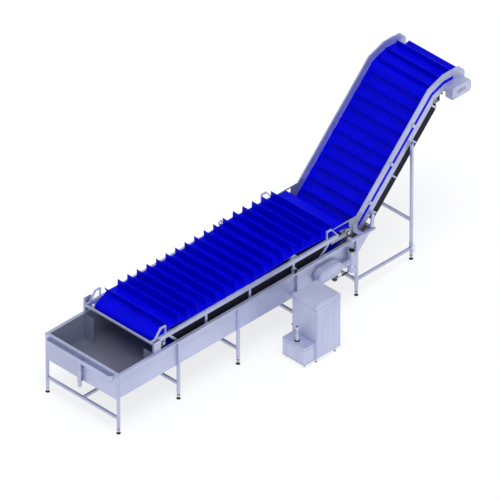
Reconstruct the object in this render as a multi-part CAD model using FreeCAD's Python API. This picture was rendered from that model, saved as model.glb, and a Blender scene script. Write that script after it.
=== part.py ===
import FreeCAD, Part
import math
import os

# Immersion and elevating conveyor over a water tank. Millimetres, +Z up.
# x runs across the machine, with the pump cabinet on the +x side.
# y runs along it, from the open infeed of the tank to the discharge of the elevator.
# The pieces are drawn with x = 0 on the centre plane, y = 0 on the front legs and z = 0 on the
# floor. The last lines move them all so that the origin is under the middle of the whole machine.

V = FreeCAD.Vector

# ---- driving dimensions -------------------------------------------------------------------
TOUCH = 0.3                 # gap between curved faces of neighbouring pieces
RUNNING = 0.05              # radial clearance of a shaft in its bearing

TANK_HALF = 552.0           # centre plane to the outer face of a side wall
TANK_FRONT = -15.0          # outer face of the front wall
TANK_LENGTH = 4085.0        # front wall to the top of the sloping end wall
RIM_Z = 800.0
TANK_DEPTH = 340.0
TANK_SHEET = 3.0
TANK_END_ANGLE = 45.0
RIM_WIDTH = 41.0
RIM_LIP = 18.0
BAFFLE_Y = 566.0
BAFFLE_WIDTH = 150.0

LEG_SIZE = 30.0
LEG_WALL = 2.0
LEG_PITCH = 946.0
LEG_ROWS = 5
LEG_FOOT_Z = 80.0
CROSS_TUBE_Z = 207.0
PLUG_HEIGHT = 22.0
PAD_RADIUS = 25.0
PAD_HEIGHT = 8.0
SPINDLE_RADIUS = 6.0

GUTTER_HALF = 520.0
GUTTER_WIDTH = 66.0
GUTTER_DEPTH = 55.0
GUTTER_DROP = 12.0          # rim to the top edge of the gutter
GUTTER_CORNER = 45.0
DOWNPIPE_RADIUS = 25.0
DOWNPIPE_BELOW = 70.0       # how far the downpipe reaches below the tank
SPIGOT_RADIUS = 24.0        # turned end of the downpipe that takes a hose
SPIGOT_LENGTH = 60.0

BELT_THICKNESS = 12.0
FLIGHT_PITCH = 152.4
FLIGHT_THICKNESS = 8.0
SPROCKET_TEETH = 12
SPROCKET_WIDTH = 40.0

IMMERSION_HALF = 500.0      # half the width of the immersion belt
IMMERSION_FLIGHT = 105.0
IMMERSION_INSET = 23.0
IMMERSION_RAIL_X = 505.0    # inner face of a side rail
IMMERSION_RAIL_WIDTH = 30.0
IMMERSION_RAIL_HEIGHT = 50.0
IMMERSION_RAIL_TOP = 950.0
IMMERSION_START = 566.0
IMMERSION_END = 3530.0
IDLER_AXIS = (745.0, 850.0)
IDLER_RADIUS = 60.0         # axis to the outer face of the belt
CREST_Y, CREST_Z = 890.0, 986.0
SAG = 40.0
ROLLER_Y, ROLLER_TOP, ROLLER_RADIUS = 2840.0, 1003.0, 72.0
FAR_CREST_Y, FAR_CREST_Z = 3510.0, 972.0
DRUM_AXIS = (3690.0, 895.0)
DRUM_RADIUS = 62.0
LOWER_RUN_Z = 650.0
LOWER_RUN_START, LOWER_RUN_END = 1100.0, 3100.0
SHOE_RADIUS = 60.0
FIRST_FLIGHT_Y = 868.0
TOP_FLIGHTS = 18
LOWER_FLIGHTS = 13
HANGER_PITCH = 695.0
FIRST_HANGER_Y = 1429.0
SHAFT_RADIUS = 20.0
GUIDE_LAP = 8.0             # how far the side guides overlap the rails

ELEVATOR_PLATE_X = 462.0    # inner face of the elevator's side members
ELEVATOR_SHEET = 5.0
ELEVATOR_HALF = 450.0       # half the width of the elevator belt
ELEVATOR_FLIGHT = 75.0
ELEVATOR_INSET = 40.0
INCLINE = 46.0
TOP_ANGLE = 20.0
EDGE_LOW = (3887.0, 997.0)  # where the side members turn up
EDGE_FRONT_Y = 3472.0
EDGE_BEND_Z = 2173.0
EDGE_TOP_Z = 2260.0
EDGE_CHAMFER_Y = 5516.0
EDGE_END_Y = 5615.0
END_PLATE_Y = 5432.0
CARRY_DEPTH = 97.0          # side member's edge down to the carrying face of the belt
RETURN_GAP = 14.0             # cross bar down to the outer face of the return run
UPPER_RAIL = 93.0
SLOT = 50.0
LOWER_RAIL = 80.0
BAR_HEIGHT = 20.0           # cross bars between the carrying and the return run
RETURN_DEPTH = UPPER_RAIL + SLOT + BAR_HEIGHT + RETURN_GAP   # edge to the return run's outer face
TRAY_DEPTH = 100.0
WINDOW_START = -130.0       # lower end of the slot, along the incline from where it starts
PLATE_JOINT = 60.0          # where the solid lower plate gives way to the two rails
PICKUP_Z = 640.0
TAIL_AXIS = (3370.0, 595.0)
TAIL_RADIUS = 45.0
DRIVE_AXIS = (5465.0, 2078.0)
DRIVE_RADIUS = 85.0
HOLD_DOWN_RADIUS = 80.0
RETURN_BEND_RADIUS = 60.0
BLOCK_PITCH = 500.0
STRAP_PITCH = 457.0

ELEVATOR_LEG_Y = 4728.0
ELEVATOR_LEG_X = 495.0      # inner face of an elevator leg
ELEVATOR_CROSS_Z = 540.0

CABINET_X = (814.0, 1190.0)
CABINET_Y = (2510.0, 2900.0)
CABINET_Z = (58.0, 793.0)
DOSING_Y = 2337.0
DOSING_TOP = 274.0
DOSING_BOTTOM = 48.0

# ---- worked-out places --------------------------------------------------------------------
TANK_BOTTOM = RIM_Z - TANK_DEPTH
FLOOR_TOP = TANK_BOTTOM + TANK_SHEET
TANK_END = TANK_FRONT + TANK_LENGTH
TANK_FOOT_END = TANK_END - TANK_DEPTH / math.tan(math.radians(TANK_END_ANGLE))
LEG_CENTRE_X = TANK_HALF + LEG_SIZE / 2
LEG_Y = [row * LEG_PITCH for row in range(LEG_ROWS)]
RAIL_BOTTOM = IMMERSION_RAIL_TOP - IMMERSION_RAIL_HEIGHT
RAIL_OUTER = IMMERSION_RAIL_X + IMMERSION_RAIL_WIDTH
PLATE_OUTER = ELEVATOR_PLATE_X + ELEVATOR_SHEET
LOWER_EDGE = UPPER_RAIL + SLOT + LOWER_RAIL
RAIL_MIDDLE = UPPER_RAIL + SLOT + LOWER_RAIL / 2
SLOPE = math.radians(INCLINE)
EDGE_BEND = (EDGE_LOW[0] + (EDGE_BEND_Z - EDGE_LOW[1]) / math.tan(SLOPE), EDGE_BEND_Z)
EDGE_TOP = (EDGE_BEND[0] + (EDGE_TOP_Z - EDGE_BEND_Z) / math.tan(math.radians(TOP_ANGLE)), EDGE_TOP_Z)


# ---- plain shapes -------------------------------------------------------------------------
def gather(*groups):
    """One dictionary of node name to solids, where groups may add to the same node."""
    nodes = {}
    for group in groups:
        for name, solids in group.items():
            nodes.setdefault(name, []).extend(solids)
    return nodes


def box(x, y, z):
    """Box from three (low, high) pairs."""
    return Part.makeBox(x[1] - x[0], y[1] - y[0], z[1] - z[0], V(x[0], y[0], z[0]))


def prism(outline, x):
    """Closed (y, z) outline drawn out along x."""
    points = [V(x[0], p[0], p[1]) for p in outline]
    face = Part.Face(Part.makePolygon(points + points[:1]))
    return face.extrude(V(x[1] - x[0], 0, 0))


def rod(x, centre, radius):
    """Cylinder along x about a (y, z) centre."""
    return Part.makeCylinder(radius, x[1] - x[0], V(x[0], centre[0], centre[1]), V(1, 0, 0))


def ring(x, centre, radius, bore):
    return rod(x, centre, radius).cut(rod(x, centre, bore))


def post(x, y, z, radius):
    """Upright cylinder between two heights."""
    return Part.makeCylinder(radius, z[1] - z[0], V(x, y, z[0]))


def square_tube(x, y, z, wall, along):
    """Hollow square tube. along is 0, 1 or 2 for a tube along x, y or z."""
    spans = [list(x), list(y), list(z)]
    inner = [[low + wall, high - wall] for low, high in spans]
    inner[along] = spans[along]
    return box(*spans).cut(box(*inner))


def mirror(shape):
    return shape.mirror(V(0, 0, 0), V(1, 0, 0))


def both_sides(shapes):
    """Every piece and its mirror image across the centre plane."""
    return [side for shape in shapes for side in (shape, mirror(shape))]


def hexagon_head(x, centre, radius):
    corners = [math.radians(60 * k) for k in range(6)]
    return prism([(centre[0] + radius * math.cos(a), centre[1] + radius * math.sin(a)) for a in corners], x)


# ---- lines and belts in the (y, z) plane ---------------------------------------------------
def step(start, end):
    """Unit direction from one point to the next."""
    length = math.dist(start, end)
    return ((end[0] - start[0]) / length, (end[1] - start[1]) / length)


def right_of(direction):
    return (direction[1], -direction[0])


def moved(point, direction, distance):
    return (point[0] + direction[0] * distance, point[1] + direction[1] * distance)


def mitre(before, after):
    """Vector that a corner moves by when both its lines move 1 to the right."""
    n1, n2 = right_of(before), right_of(after)
    scale = 1 + n1[0] * n2[0] + n1[1] * n2[1]
    return ((n1[0] + n2[0]) / scale, (n1[1] + n2[1]) / scale)


def parallel(points, distance):
    """Open line moved to its right, with mitred corners."""
    steps = [step(a, b) for a, b in zip(points, points[1:])]
    befores = steps[:1] + steps
    afters = steps + steps[-1:]
    return [moved(p, mitre(a, b), distance) for p, a, b in zip(points, befores, afters)]


def corner_wheel(before, corner, after, radius):
    """Wheel that rounds a corner: positive on the right of the line, negative on its left."""
    centre = moved(corner, mitre(step(before, corner), step(corner, after)), radius)
    return (centre[0], centre[1], radius)


def crossing(point, direction, z):
    """Where a line reaches a height."""
    return (point[0] + direction[0] / direction[1] * (z - point[1]), z)


def belt_runs(wheels):
    """Straight runs of an endless belt wound clockwise round wheels given as (y, z, radius)."""
    runs = []
    for a, b in zip(wheels, wheels[1:] + wheels[:1]):
        change = b[2] - a[2]
        gap = math.dist(a[:2], b[:2])
        angle = math.atan2(b[1] - a[1], b[0] - a[0]) + math.asin(change / gap)
        heading = (math.cos(angle), math.sin(angle))
        side = right_of(heading)
        runs.append((moved(a[:2], side, -a[2]), moved(b[:2], side, -b[2]), heading))
    return runs


def belt_band(wheels, half_width):
    """The belt as one solid for each straight run and each wrap, end to end."""
    runs = belt_runs(wheels)
    spans = []
    for index, (start, end, heading) in enumerate(runs):
        before, after = runs[index - 1][2], runs[(index + 1) % len(runs)][2]
        next_radius = wheels[(index + 1) % len(wheels)][2]
        start_side = right_of(heading) if wheels[index][2] else mitre(before, heading)
        end_side = right_of(heading) if next_radius else mitre(heading, after)
        outline = [start, end, moved(end, end_side, BELT_THICKNESS), moved(start, start_side, BELT_THICKNESS)]
        spans.append(prism(outline, (-half_width, half_width)))
        if wheels[index][2]:
            spans.append(belt_wrap(wheels[index], before, heading, half_width))
    return spans


def belt_wrap(wheel, before, after, half_width):
    """The stretch of belt bent round one wheel."""
    centre, radius = wheel[:2], wheel[2]
    turn = math.atan2(before[1], before[0]) - math.atan2(after[1], after[0])
    turn = (turn + math.pi) % (2 * math.pi) - math.pi
    if radius > 0 and turn < 0:
        turn += 2 * math.pi
    first = math.atan2(-right_of(before)[1] * radius, -right_of(before)[0] * radius)

    def at(reach, share):
        angle = first - turn * share
        return V(-half_width, centre[0] + reach * math.cos(angle), centre[1] + reach * math.sin(angle))

    outer, inner = abs(radius), abs(radius - BELT_THICKNESS)
    edges = [
        Part.Arc(at(outer, 0), at(outer, 0.5), at(outer, 1)).toShape(),
        Part.LineSegment(at(outer, 1), at(inner, 1)).toShape(),
        Part.Arc(at(inner, 1), at(inner, 0.5), at(inner, 0)).toShape(),
        Part.LineSegment(at(inner, 0), at(outer, 0)).toShape(),
    ]
    return Part.Face(Part.Wire(edges)).extrude(V(2 * half_width, 0, 0))


def flight(foot, heading, height, half_width):
    """One upright cross wall on the belt, thinner at its tip."""
    up = (-heading[1], heading[0])
    root, tip = FLIGHT_THICKNESS / 2, FLIGHT_THICKNESS / 4
    top = moved(foot, up, height)
    outline = [moved(foot, heading, -root), moved(top, heading, -tip), moved(top, heading, tip), moved(foot, heading, root)]
    return prism(outline, (-half_width, half_width))


# ---- tank ----------------------------------------------------------------------------------
def tank():
    inner = TANK_HALF - TANK_SHEET
    wall_start = TANK_FRONT + TANK_SHEET
    slope = TANK_SHEET / math.sin(math.radians(TANK_END_ANGLE))
    side = [(wall_start, TANK_BOTTOM), (wall_start, RIM_Z), (TANK_END, RIM_Z), (TANK_FOOT_END, TANK_BOTTOM)]
    end = [(TANK_FOOT_END - slope, TANK_BOTTOM), (TANK_END - slope, RIM_Z), (TANK_END, RIM_Z),
           (TANK_FOOT_END, TANK_BOTTOM)]
    floor = [(wall_start, TANK_BOTTOM), (TANK_FOOT_END - slope, TANK_BOTTOM),
             (TANK_FOOT_END - slope + TANK_SHEET, FLOOR_TOP), (wall_start, FLOOR_TOP)]
    baffle = box((inner - BAFFLE_WIDTH, inner), (BAFFLE_Y, BAFFLE_Y + TANK_SHEET), (FLOOR_TOP, RIM_Z))
    wall = prism(side, (inner, TANK_HALF))
    return {
        "tank_floor": [prism(floor, (-inner, inner)), prism(end, (-inner, inner))],
        "tank_side_walls": both_sides([wall]),
        "tank_front_wall": [front_wall()],
        "tank_baffles": both_sides([baffle]),
        "tank_rims": rims(),
    }


def front_wall():
    """Front sheet with the overflow slot that lets water into the gutter."""
    sheet = box((-TANK_HALF, TANK_HALF), (TANK_FRONT, TANK_FRONT + TANK_SHEET), (TANK_BOTTOM, RIM_Z))
    slot_top = RIM_Z - GUTTER_DROP - 8
    slot = box((-GUTTER_HALF + 60, GUTTER_HALF - 60), (TANK_FRONT, TANK_FRONT + TANK_SHEET), (slot_top - 15, slot_top))
    return sheet.cut(slot)


def rims():
    """Folded rim strips on the side, front and end walls, each with a turned-down lip."""
    outer = TANK_HALF + RIM_WIDTH - TANK_SHEET
    top = (RIM_Z, RIM_Z + TANK_SHEET)
    lip = (RIM_Z - RIM_LIP, RIM_Z)
    length = (TANK_FRONT, TANK_END)
    side = box((TANK_HALF - TANK_SHEET, outer), length, top)
    side_lip = box((outer - TANK_SHEET, outer), length, lip)
    front = box((TANK_SHEET - TANK_HALF, TANK_HALF - TANK_SHEET), (TANK_FRONT, TANK_FRONT + RIM_WIDTH), top)
    end = box((TANK_SHEET - TANK_HALF, TANK_HALF - TANK_SHEET), (TANK_END - RIM_WIDTH, TANK_END), top)
    return both_sides([side, side_lip]) + [front, end]


def gutter():
    """Open trough under the front rim, and the pipe that drains it."""
    rear, front = TANK_FRONT, TANK_FRONT - GUTTER_WIDTH
    top = RIM_Z - GUTTER_DROP
    pipe_y = TANK_FRONT - GUTTER_WIDTH / 2 - 2

    def trough(inset, z):
        block = box((inset - GUTTER_HALF, GUTTER_HALF - inset), (front + inset, rear - inset), z)
        corners = [e for e in block.Edges if abs(e.BoundBox.ZLength - (z[1] - z[0])) < 0.01
                   and e.BoundBox.YMin < front + inset + 1]
        return block.makeFillet(GUTTER_CORNER - inset, corners)

    shell = trough(0, (top - GUTTER_DEPTH, top)).cut(trough(2.5, (top - GUTTER_DEPTH + 2.5, top)))
    bore = DOWNPIPE_RADIUS - 2
    shell = shell.cut(post(0, pipe_y, (top - GUTTER_DEPTH, top), bore))
    pipe_z = (TANK_BOTTOM - DOWNPIPE_BELOW, top - GUTTER_DEPTH)
    spigot = post(0, pipe_y, (pipe_z[0], pipe_z[0] + SPIGOT_LENGTH), SPIGOT_RADIUS)
    pipe = post(0, pipe_y, (pipe_z[0] + SPIGOT_LENGTH, pipe_z[1]), DOWNPIPE_RADIUS).fuse(spigot)
    pipe = pipe.cut(post(0, pipe_y, pipe_z, bore)).removeSplitter()
    clip_y = pipe_y + DOWNPIPE_RADIUS * 0.9
    clips = [box((-30, 30), (clip_y, rear), (z, z + 20)) for z in (TANK_BOTTOM + 30, TANK_BOTTOM + 150)]
    clips = [clip.cut(post(0, pipe_y, pipe_z, DOWNPIPE_RADIUS + RUNNING)) for clip in clips]
    return {"overflow_gutter": [shell], "gutter_downpipe": [pipe] + clips}


# ---- legs ----------------------------------------------------------------------------------
def foot(x, y, top):
    """Tapered plug, levelling spindle with its nut, and round pad under one leg."""
    size = LEG_SIZE / 2
    inner = size - LEG_WALL
    cone = Part.makeCone(8, size, PLUG_HEIGHT, V(x, y, top - PLUG_HEIGHT))
    plug = cone.fuse(box((x - inner, x + inner), (y - inner, y + inner), (top, top + PLUG_HEIGHT)))
    pad = post(x, y, (0, PAD_HEIGHT), PAD_RADIUS).fuse(
        Part.makeCone(PAD_RADIUS, PAD_RADIUS / 2, PAD_HEIGHT, V(x, y, PAD_HEIGHT)))
    spindle = post(x, y, (2 * PAD_HEIGHT, top - PLUG_HEIGHT), SPINDLE_RADIUS)
    nut = post(x, y, (top - PLUG_HEIGHT - 8, top - PLUG_HEIGHT), 2 * SPINDLE_RADIUS)
    return plug.removeSplitter(), spindle.fuse(nut), pad


def oblique_tube(start, end, size, wall):
    """Square tube between two upright faces, given by the middles of its ends."""
    def section(half):
        x, y, z = start
        corners = [V(x - half, y, z - half), V(x + half, y, z - half), V(x + half, y, z + half), V(x - half, y, z + half)]
        return Part.Face(Part.makePolygon(corners + corners[:1]))
    run = V(*end) - V(*start)
    return section(size / 2).extrude(run).cut(section(size / 2 - wall).extrude(run))


def legs():
    half = LEG_SIZE / 2
    tubes, cross, spine, feet = [], [], [], []
    for y in LEG_Y:
        tubes += both_sides([square_tube((TANK_HALF, TANK_HALF + LEG_SIZE), (y - half, y + half),
                                         (LEG_FOOT_Z, RIM_Z), LEG_WALL, 2)])
        cross.append(square_tube((-TANK_HALF, TANK_HALF), (y - half, y + half),
                                 (CROSS_TUBE_Z - half, CROSS_TUBE_Z + half), LEG_WALL, 0))
        feet += [foot(x, y, LEG_FOOT_Z) for x in (LEG_CENTRE_X, -LEG_CENTRE_X)]
    for y in LEG_Y[:-1]:
        spine.append(square_tube((-half, half), (y + half, y + LEG_PITCH - half),
                                 (CROSS_TUBE_Z - half, CROSS_TUBE_Z + half), LEG_WALL, 1))

    tall_x = ELEVATOR_LEG_X + half
    feet += [foot(x, ELEVATOR_LEG_Y, LEG_FOOT_Z) for x in (tall_x, -tall_x)]
    tall = elevator_leg()
    brace = oblique_tube((LEG_CENTRE_X, LEG_Y[-1] + half, CROSS_TUBE_Z + 10),
                         (tall_x, ELEVATOR_LEG_Y - half, CROSS_TUBE_Z - 50), LEG_SIZE, LEG_WALL)
    tall_cross = square_tube((-ELEVATOR_LEG_X, ELEVATOR_LEG_X), (ELEVATOR_LEG_Y - half, ELEVATOR_LEG_Y + half),
                             (ELEVATOR_CROSS_Z - half, ELEVATOR_CROSS_Z + half), LEG_WALL, 0)
    bracket_z = edge_height(ELEVATOR_LEG_Y, RAIL_MIDDLE)
    bracket = box((PLATE_OUTER, ELEVATOR_LEG_X), (ELEVATOR_LEG_Y - half, ELEVATOR_LEG_Y + half),
                  (bracket_z - 35, bracket_z))
    plugs, spindles, pads = zip(*feet)
    return {
        "leg_tubes": tubes,
        "leg_cross_tubes": cross + spine,
        "elevator_legs": both_sides([tall]),
        "elevator_leg_braces": both_sides([brace, bracket]) + [tall_cross],
        "foot_plugs": list(plugs),
        "foot_spindles": list(spindles),
        "foot_pads": list(pads),
    }




def edge_height(y, depth):
    """Height of the line that lies a depth below the sloping edge of the side members."""
    return EDGE_LOW[1] + (y - EDGE_LOW[0]) * math.tan(SLOPE) - depth / math.cos(SLOPE)


def elevator_leg():
    """Tall leg with its top cut to the slope of the elevator."""
    half = LEG_SIZE / 2
    y = (ELEVATOR_LEG_Y - half, ELEVATOR_LEG_Y + half)
    inner = (y[0] + LEG_WALL, y[1] - LEG_WALL)

    def column(span, x):
        top = [edge_height(span[0], RAIL_MIDDLE), edge_height(span[1], RAIL_MIDDLE)]
        return prism([(span[0], LEG_FOOT_Z), (span[1], LEG_FOOT_Z), (span[1], top[1]), (span[0], top[0])], x)

    outer_x = (ELEVATOR_LEG_X, ELEVATOR_LEG_X + LEG_SIZE)
    return column(y, outer_x).cut(column(inner, (outer_x[0] + LEG_WALL, outer_x[1] - LEG_WALL)))


# ---- immersion conveyor ---------------------------------------------------------------------
def immersion_wheels():
    """Everything the immersion belt bends round, clockwise from the front idler."""
    crest = (CREST_Y, CREST_Z - SHOE_RADIUS, SHOE_RADIUS)
    roller = (ROLLER_Y, ROLLER_TOP - ROLLER_RADIUS, ROLLER_RADIUS)
    far_crest = (FAR_CREST_Y, FAR_CREST_Z - SHOE_RADIUS, SHOE_RADIUS)
    sagging = []
    for share in (0.2, 0.4, 0.6, 0.8):
        y = CREST_Y + (ROLLER_Y - CREST_Y) * share
        z = CREST_Z + (ROLLER_TOP - CREST_Z) * share - 4 * SAG * share * (1 - share)
        sagging.append((y, z, 0.0))
    drum = (*DRUM_AXIS, DRUM_RADIUS)
    lower_far = (LOWER_RUN_END, LOWER_RUN_Z + SHOE_RADIUS, SHOE_RADIUS)
    lower_near = (LOWER_RUN_START, LOWER_RUN_Z + SHOE_RADIUS, SHOE_RADIUS)
    idler = (*IDLER_AXIS, IDLER_RADIUS)
    return [idler, crest] + sagging + [roller, far_crest, drum, lower_far, lower_near]


def run_point(runs, y, rising):
    """Foot and heading of a flight where the upper or lower side of a belt passes a given y."""
    for start, end, heading in runs:
        low, high = sorted((start[0], end[0]))
        if low <= y <= high and (heading[0] > 0) == rising:
            return moved(start, heading, (y - start[0]) / heading[0]), heading
    nearest = min((r for r in runs if (r[2][0] > 0) == rising), key=lambda r: min(abs(r[0][0] - y), abs(r[1][0] - y)))
    end = min(nearest[:2], key=lambda p: abs(p[0] - y))
    return end, nearest[2]


def immersion_flights(runs):
    half = IMMERSION_HALF - IMMERSION_INSET
    upper = [run_point(runs, FIRST_FLIGHT_Y + k * FLIGHT_PITCH, True) for k in range(TOP_FLIGHTS)]
    middle = (LOWER_RUN_START + LOWER_RUN_END) / 2
    first = middle - (LOWER_FLIGHTS - 1) / 2 * FLIGHT_PITCH
    lower = [run_point(runs, first + k * FLIGHT_PITCH, False) for k in range(LOWER_FLIGHTS)]
    return [flight(foot_point, heading, IMMERSION_FLIGHT, half) for foot_point, heading in upper + lower]


def sprocket(x, centre, tip_radius, bore):
    """Toothed wheel whose tips stay just inside the belt."""
    step_angle = 2 * math.pi / SPROCKET_TEETH
    points = []
    for tooth in range(SPROCKET_TEETH):
        for share, reach in ((-0.3, 0.9), (-0.15, 1.0), (0.15, 1.0), (0.3, 0.9)):
            angle = (tooth + share) * step_angle
            points.append((centre[0] + tip_radius * reach * math.cos(angle),
                           centre[1] + tip_radius * reach * math.sin(angle)))
    return prism(points, x).cut(rod(x, centre, bore))


def sprocket_row(centre, belt_radius, reach, count, bore):
    tip = belt_radius - BELT_THICKNESS - TOUCH
    middles = [reach * (2 * k / (count - 1) - 1) for k in range(count)]
    return [sprocket((m - SPROCKET_WIDTH / 2, m + SPROCKET_WIDTH / 2), centre, tip, bore) for m in middles]


def shoe_row(centre):
    """Round plastic shoes on a square cross bar, which the belt slides over."""
    reach, width, half = IMMERSION_HALF * 0.8, 20.0, LEG_SIZE / 2
    shoes = []
    for middle in (-reach, -reach / 3, reach / 3, reach):
        x = (middle - width / 2, middle + width / 2)
        hole = box(x, (centre[0] - half, centre[0] + half), (centre[1] - half, centre[1] + half))
        shoes.append(rod(x, centre, SHOE_RADIUS - BELT_THICKNESS - TOUCH).cut(hole))
    return shoes


def cross_bar(x_reach, centre):
    half = LEG_SIZE / 2
    return square_tube((-x_reach, x_reach), (centre[0] - half, centre[0] + half),
                       (centre[1] - half, centre[1] + half), LEG_WALL, 0)


def immersion_frame(wheels):
    """Side rails, hangers, lower rails and cross bars that carry the immersion belt."""
    idler, crest, roller, far_crest, drum = wheels[0], wheels[1], wheels[6], wheels[7], wheels[8]
    lower_far, lower_near = wheels[9], wheels[10]
    half = LEG_SIZE / 2
    rail_x = (IMMERSION_RAIL_X, RAIL_OUTER)
    hanger_x = (IMMERSION_RAIL_X + 7, RAIL_OUTER - 7)
    lower_z = (lower_near[1] - half, lower_near[1] + half)
    rail = square_tube(rail_x, (IMMERSION_START, IMMERSION_END), (RAIL_BOTTOM, IMMERSION_RAIL_TOP), LEG_WALL, 1)
    rail = rail.cut(rod(rail_x, roller[:2], SHAFT_RADIUS / 2 + RUNNING))
    lower_start, lower_end = LOWER_RUN_START - 100, LOWER_RUN_END + 130
    lower = square_tube(rail_x, (lower_start, lower_end), lower_z, LEG_WALL, 1)

    hangers = []
    for k in range(3):
        y = FIRST_HANGER_Y + k * HANGER_PITCH
        hangers.append(box(hanger_x, (y - half, y + half), (lower_z[1], RAIL_BOTTOM)))
    drop = RAIL_BOTTOM - lower_z[1]
    for foot_y, top_y in ((lower_start, lower_start - drop), (lower_end - 40, lower_end - 40 + drop)):
        hangers.append(prism([(foot_y, lower_z[1]), (foot_y + 40, lower_z[1]), (top_y + 40, RAIL_BOTTOM),
                              (top_y, RAIL_BOTTOM)], hanger_x))

    reach = IMMERSION_RAIL_X
    bars = [cross_bar(reach, w[:2]) for w in (crest, far_crest, lower_far, lower_near)]
    bars.append(box((-RAIL_OUTER, RAIL_OUTER), (IMMERSION_START - 20, IMMERSION_START),
                    (IMMERSION_RAIL_TOP - 22, IMMERSION_RAIL_TOP)))
    shoes = sum([shoe_row(w[:2]) for w in (crest, far_crest, lower_far, lower_near)], [])
    guide_top = RAIL_BOTTOM + GUIDE_LAP
    guide = prism([(crest[0] - 90, guide_top), (lower_near[0] - half, lower_z[1]), (lower_far[0] + half, lower_z[1]),
                   (far_crest[0] - 20, guide_top)], (IMMERSION_HALF + 1, IMMERSION_RAIL_X))
    shoes += both_sides([guide])

    idler_block = box((IMMERSION_RAIL_X, IMMERSION_RAIL_X + 25), (idler[0] - 35, idler[0] + 35), (idler[1] - 35, RAIL_BOTTOM))
    arm = prism([(IMMERSION_END - 110, RAIL_BOTTOM - 40), (drum[0] + 35, RAIL_BOTTOM - 40), (drum[0] + 35, drum[1] + 35),
                 (drum[0] - 35, drum[1] + 35), (drum[0] - 35, RAIL_BOTTOM), (IMMERSION_END - 110, RAIL_BOTTOM)],
                (IMMERSION_RAIL_X, IMMERSION_RAIL_X + 25))
    bore = SHAFT_RADIUS + RUNNING
    blocks = [idler_block.cut(rod((0, 600), idler[:2], bore)), arm.cut(rod((0, 600), drum[:2], bore))]
    return {
        "immersion_rails": both_sides([rail]),
        "immersion_lower_frame": both_sides(hangers + [lower]),
        "cross_bars": bars,
        "belt_shoes": shoes,
        "immersion_bearings": both_sides(blocks),
    }


def guard_hoop(start, facing):
    """Bent flat bar over the end of a side rail. facing is 1 for a slope that rises with y."""
    height, bar = 115.0, 9.0
    line = [(0, 0), (91, height), (171, height), (171, 0)]
    inner = parallel(line, bar)
    inner[0], inner[-1] = (inner[0][0] - inner[0][1] * 91 / height, 0), (171 - bar, 0)
    outline = [(start + facing * y, IMMERSION_RAIL_TOP + z) for y, z in line + inner[::-1]]
    middle = (IMMERSION_RAIL_X + RAIL_OUTER) / 2
    return prism(outline, (middle - 12, middle + 12))


def rim_posts():
    """Channel posts that stand on the rim and hold the side rails, with their bolts."""
    front, rear = IMMERSION_START, IMMERSION_START + 108
    web_x = (TANK_HALF + 8, TANK_HALF + 12)
    base = RIM_Z + TANK_SHEET

    def channel(height):
        web = box(web_x, (front, rear), (base, height))
        sides = [box((RAIL_OUTER, web_x[0]), (y, y + 4), (base, height)) for y in (front, rear - 4)]
        return web.fuse(sides[0]).fuse(sides[1]).removeSplitter()

    near, far = channel(IMMERSION_RAIL_TOP - 5), mirror(channel(IMMERSION_RAIL_TOP + 55))
    clamp_y = ROLLER_Y - 45
    saddle = box((RAIL_OUTER, TANK_HALF + 25), (clamp_y - 20, clamp_y + 20), (base, base + 60))
    bolts = []
    for z in (base + 45, base + 105):
        bolts.append(hexagon_head((web_x[1], web_x[1] + 7), ((front + rear) / 2, z), 9))
    knob = rod((TANK_HALF + 25, TANK_HALF + 37), (clamp_y, base + 32), 27)
    return {"rim_posts": [near, far] + both_sides([saddle]), "frame_bolts": both_sides(bolts + [knob])}


def lifting_eye():
    """Eye on the top of the far side rail."""
    x = -(IMMERSION_RAIL_X + RAIL_OUTER) / 2
    y = ROLLER_Y - 145
    stem = post(x, y, (IMMERSION_RAIL_TOP, IMMERSION_RAIL_TOP + 30), 10)
    loop = Part.makeTorus(24, 8, V(x, y, IMMERSION_RAIL_TOP + 55), V(1, 0, 0))
    return stem.fuse(loop).removeSplitter()


def immersion():
    wheels = immersion_wheels()
    runs = belt_runs(wheels)
    roller = wheels[6]
    shaft = (-IMMERSION_RAIL_X - 35, IMMERSION_RAIL_X + 35)
    nodes = gather(immersion_frame(wheels), rim_posts())
    hoops = [guard_hoop(IMMERSION_START + 54, 1), guard_hoop(IMMERSION_END - 10, -1)]
    nodes["lifting_hoops"] = both_sides(hoops) + [lifting_eye()]
    nodes["immersion_belt"] = belt_band(wheels, IMMERSION_HALF)
    nodes["immersion_flights"] = immersion_flights(runs)
    nodes["immersion_drive_shaft"] = [rod(shaft, DRUM_AXIS, SHAFT_RADIUS)]
    nodes["immersion_drive_sprockets"] = sprocket_row(DRUM_AXIS, DRUM_RADIUS, IMMERSION_HALF - 60, 7, SHAFT_RADIUS)
    nodes["immersion_idler_shaft"] = [rod(shaft, IDLER_AXIS, SHAFT_RADIUS)]
    nodes["immersion_idler_sprockets"] = sprocket_row(IDLER_AXIS, IDLER_RADIUS, IMMERSION_HALF - 60, 7, SHAFT_RADIUS)
    tube = rod((-IMMERSION_HALF, IMMERSION_HALF), roller[:2], ROLLER_RADIUS - BELT_THICKNESS - TOUCH)
    nodes["support_roller"] = [tube.fuse(rod(shaft, roller[:2], SHAFT_RADIUS / 2))]
    return nodes


# ---- elevator -------------------------------------------------------------------------------
def edge_line():
    """Top edge of the side members from the tank to the end plates."""
    return [(EDGE_FRONT_Y, EDGE_LOW[1]), EDGE_LOW, EDGE_BEND, EDGE_TOP, (END_PLATE_Y, EDGE_TOP_Z)]


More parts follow.
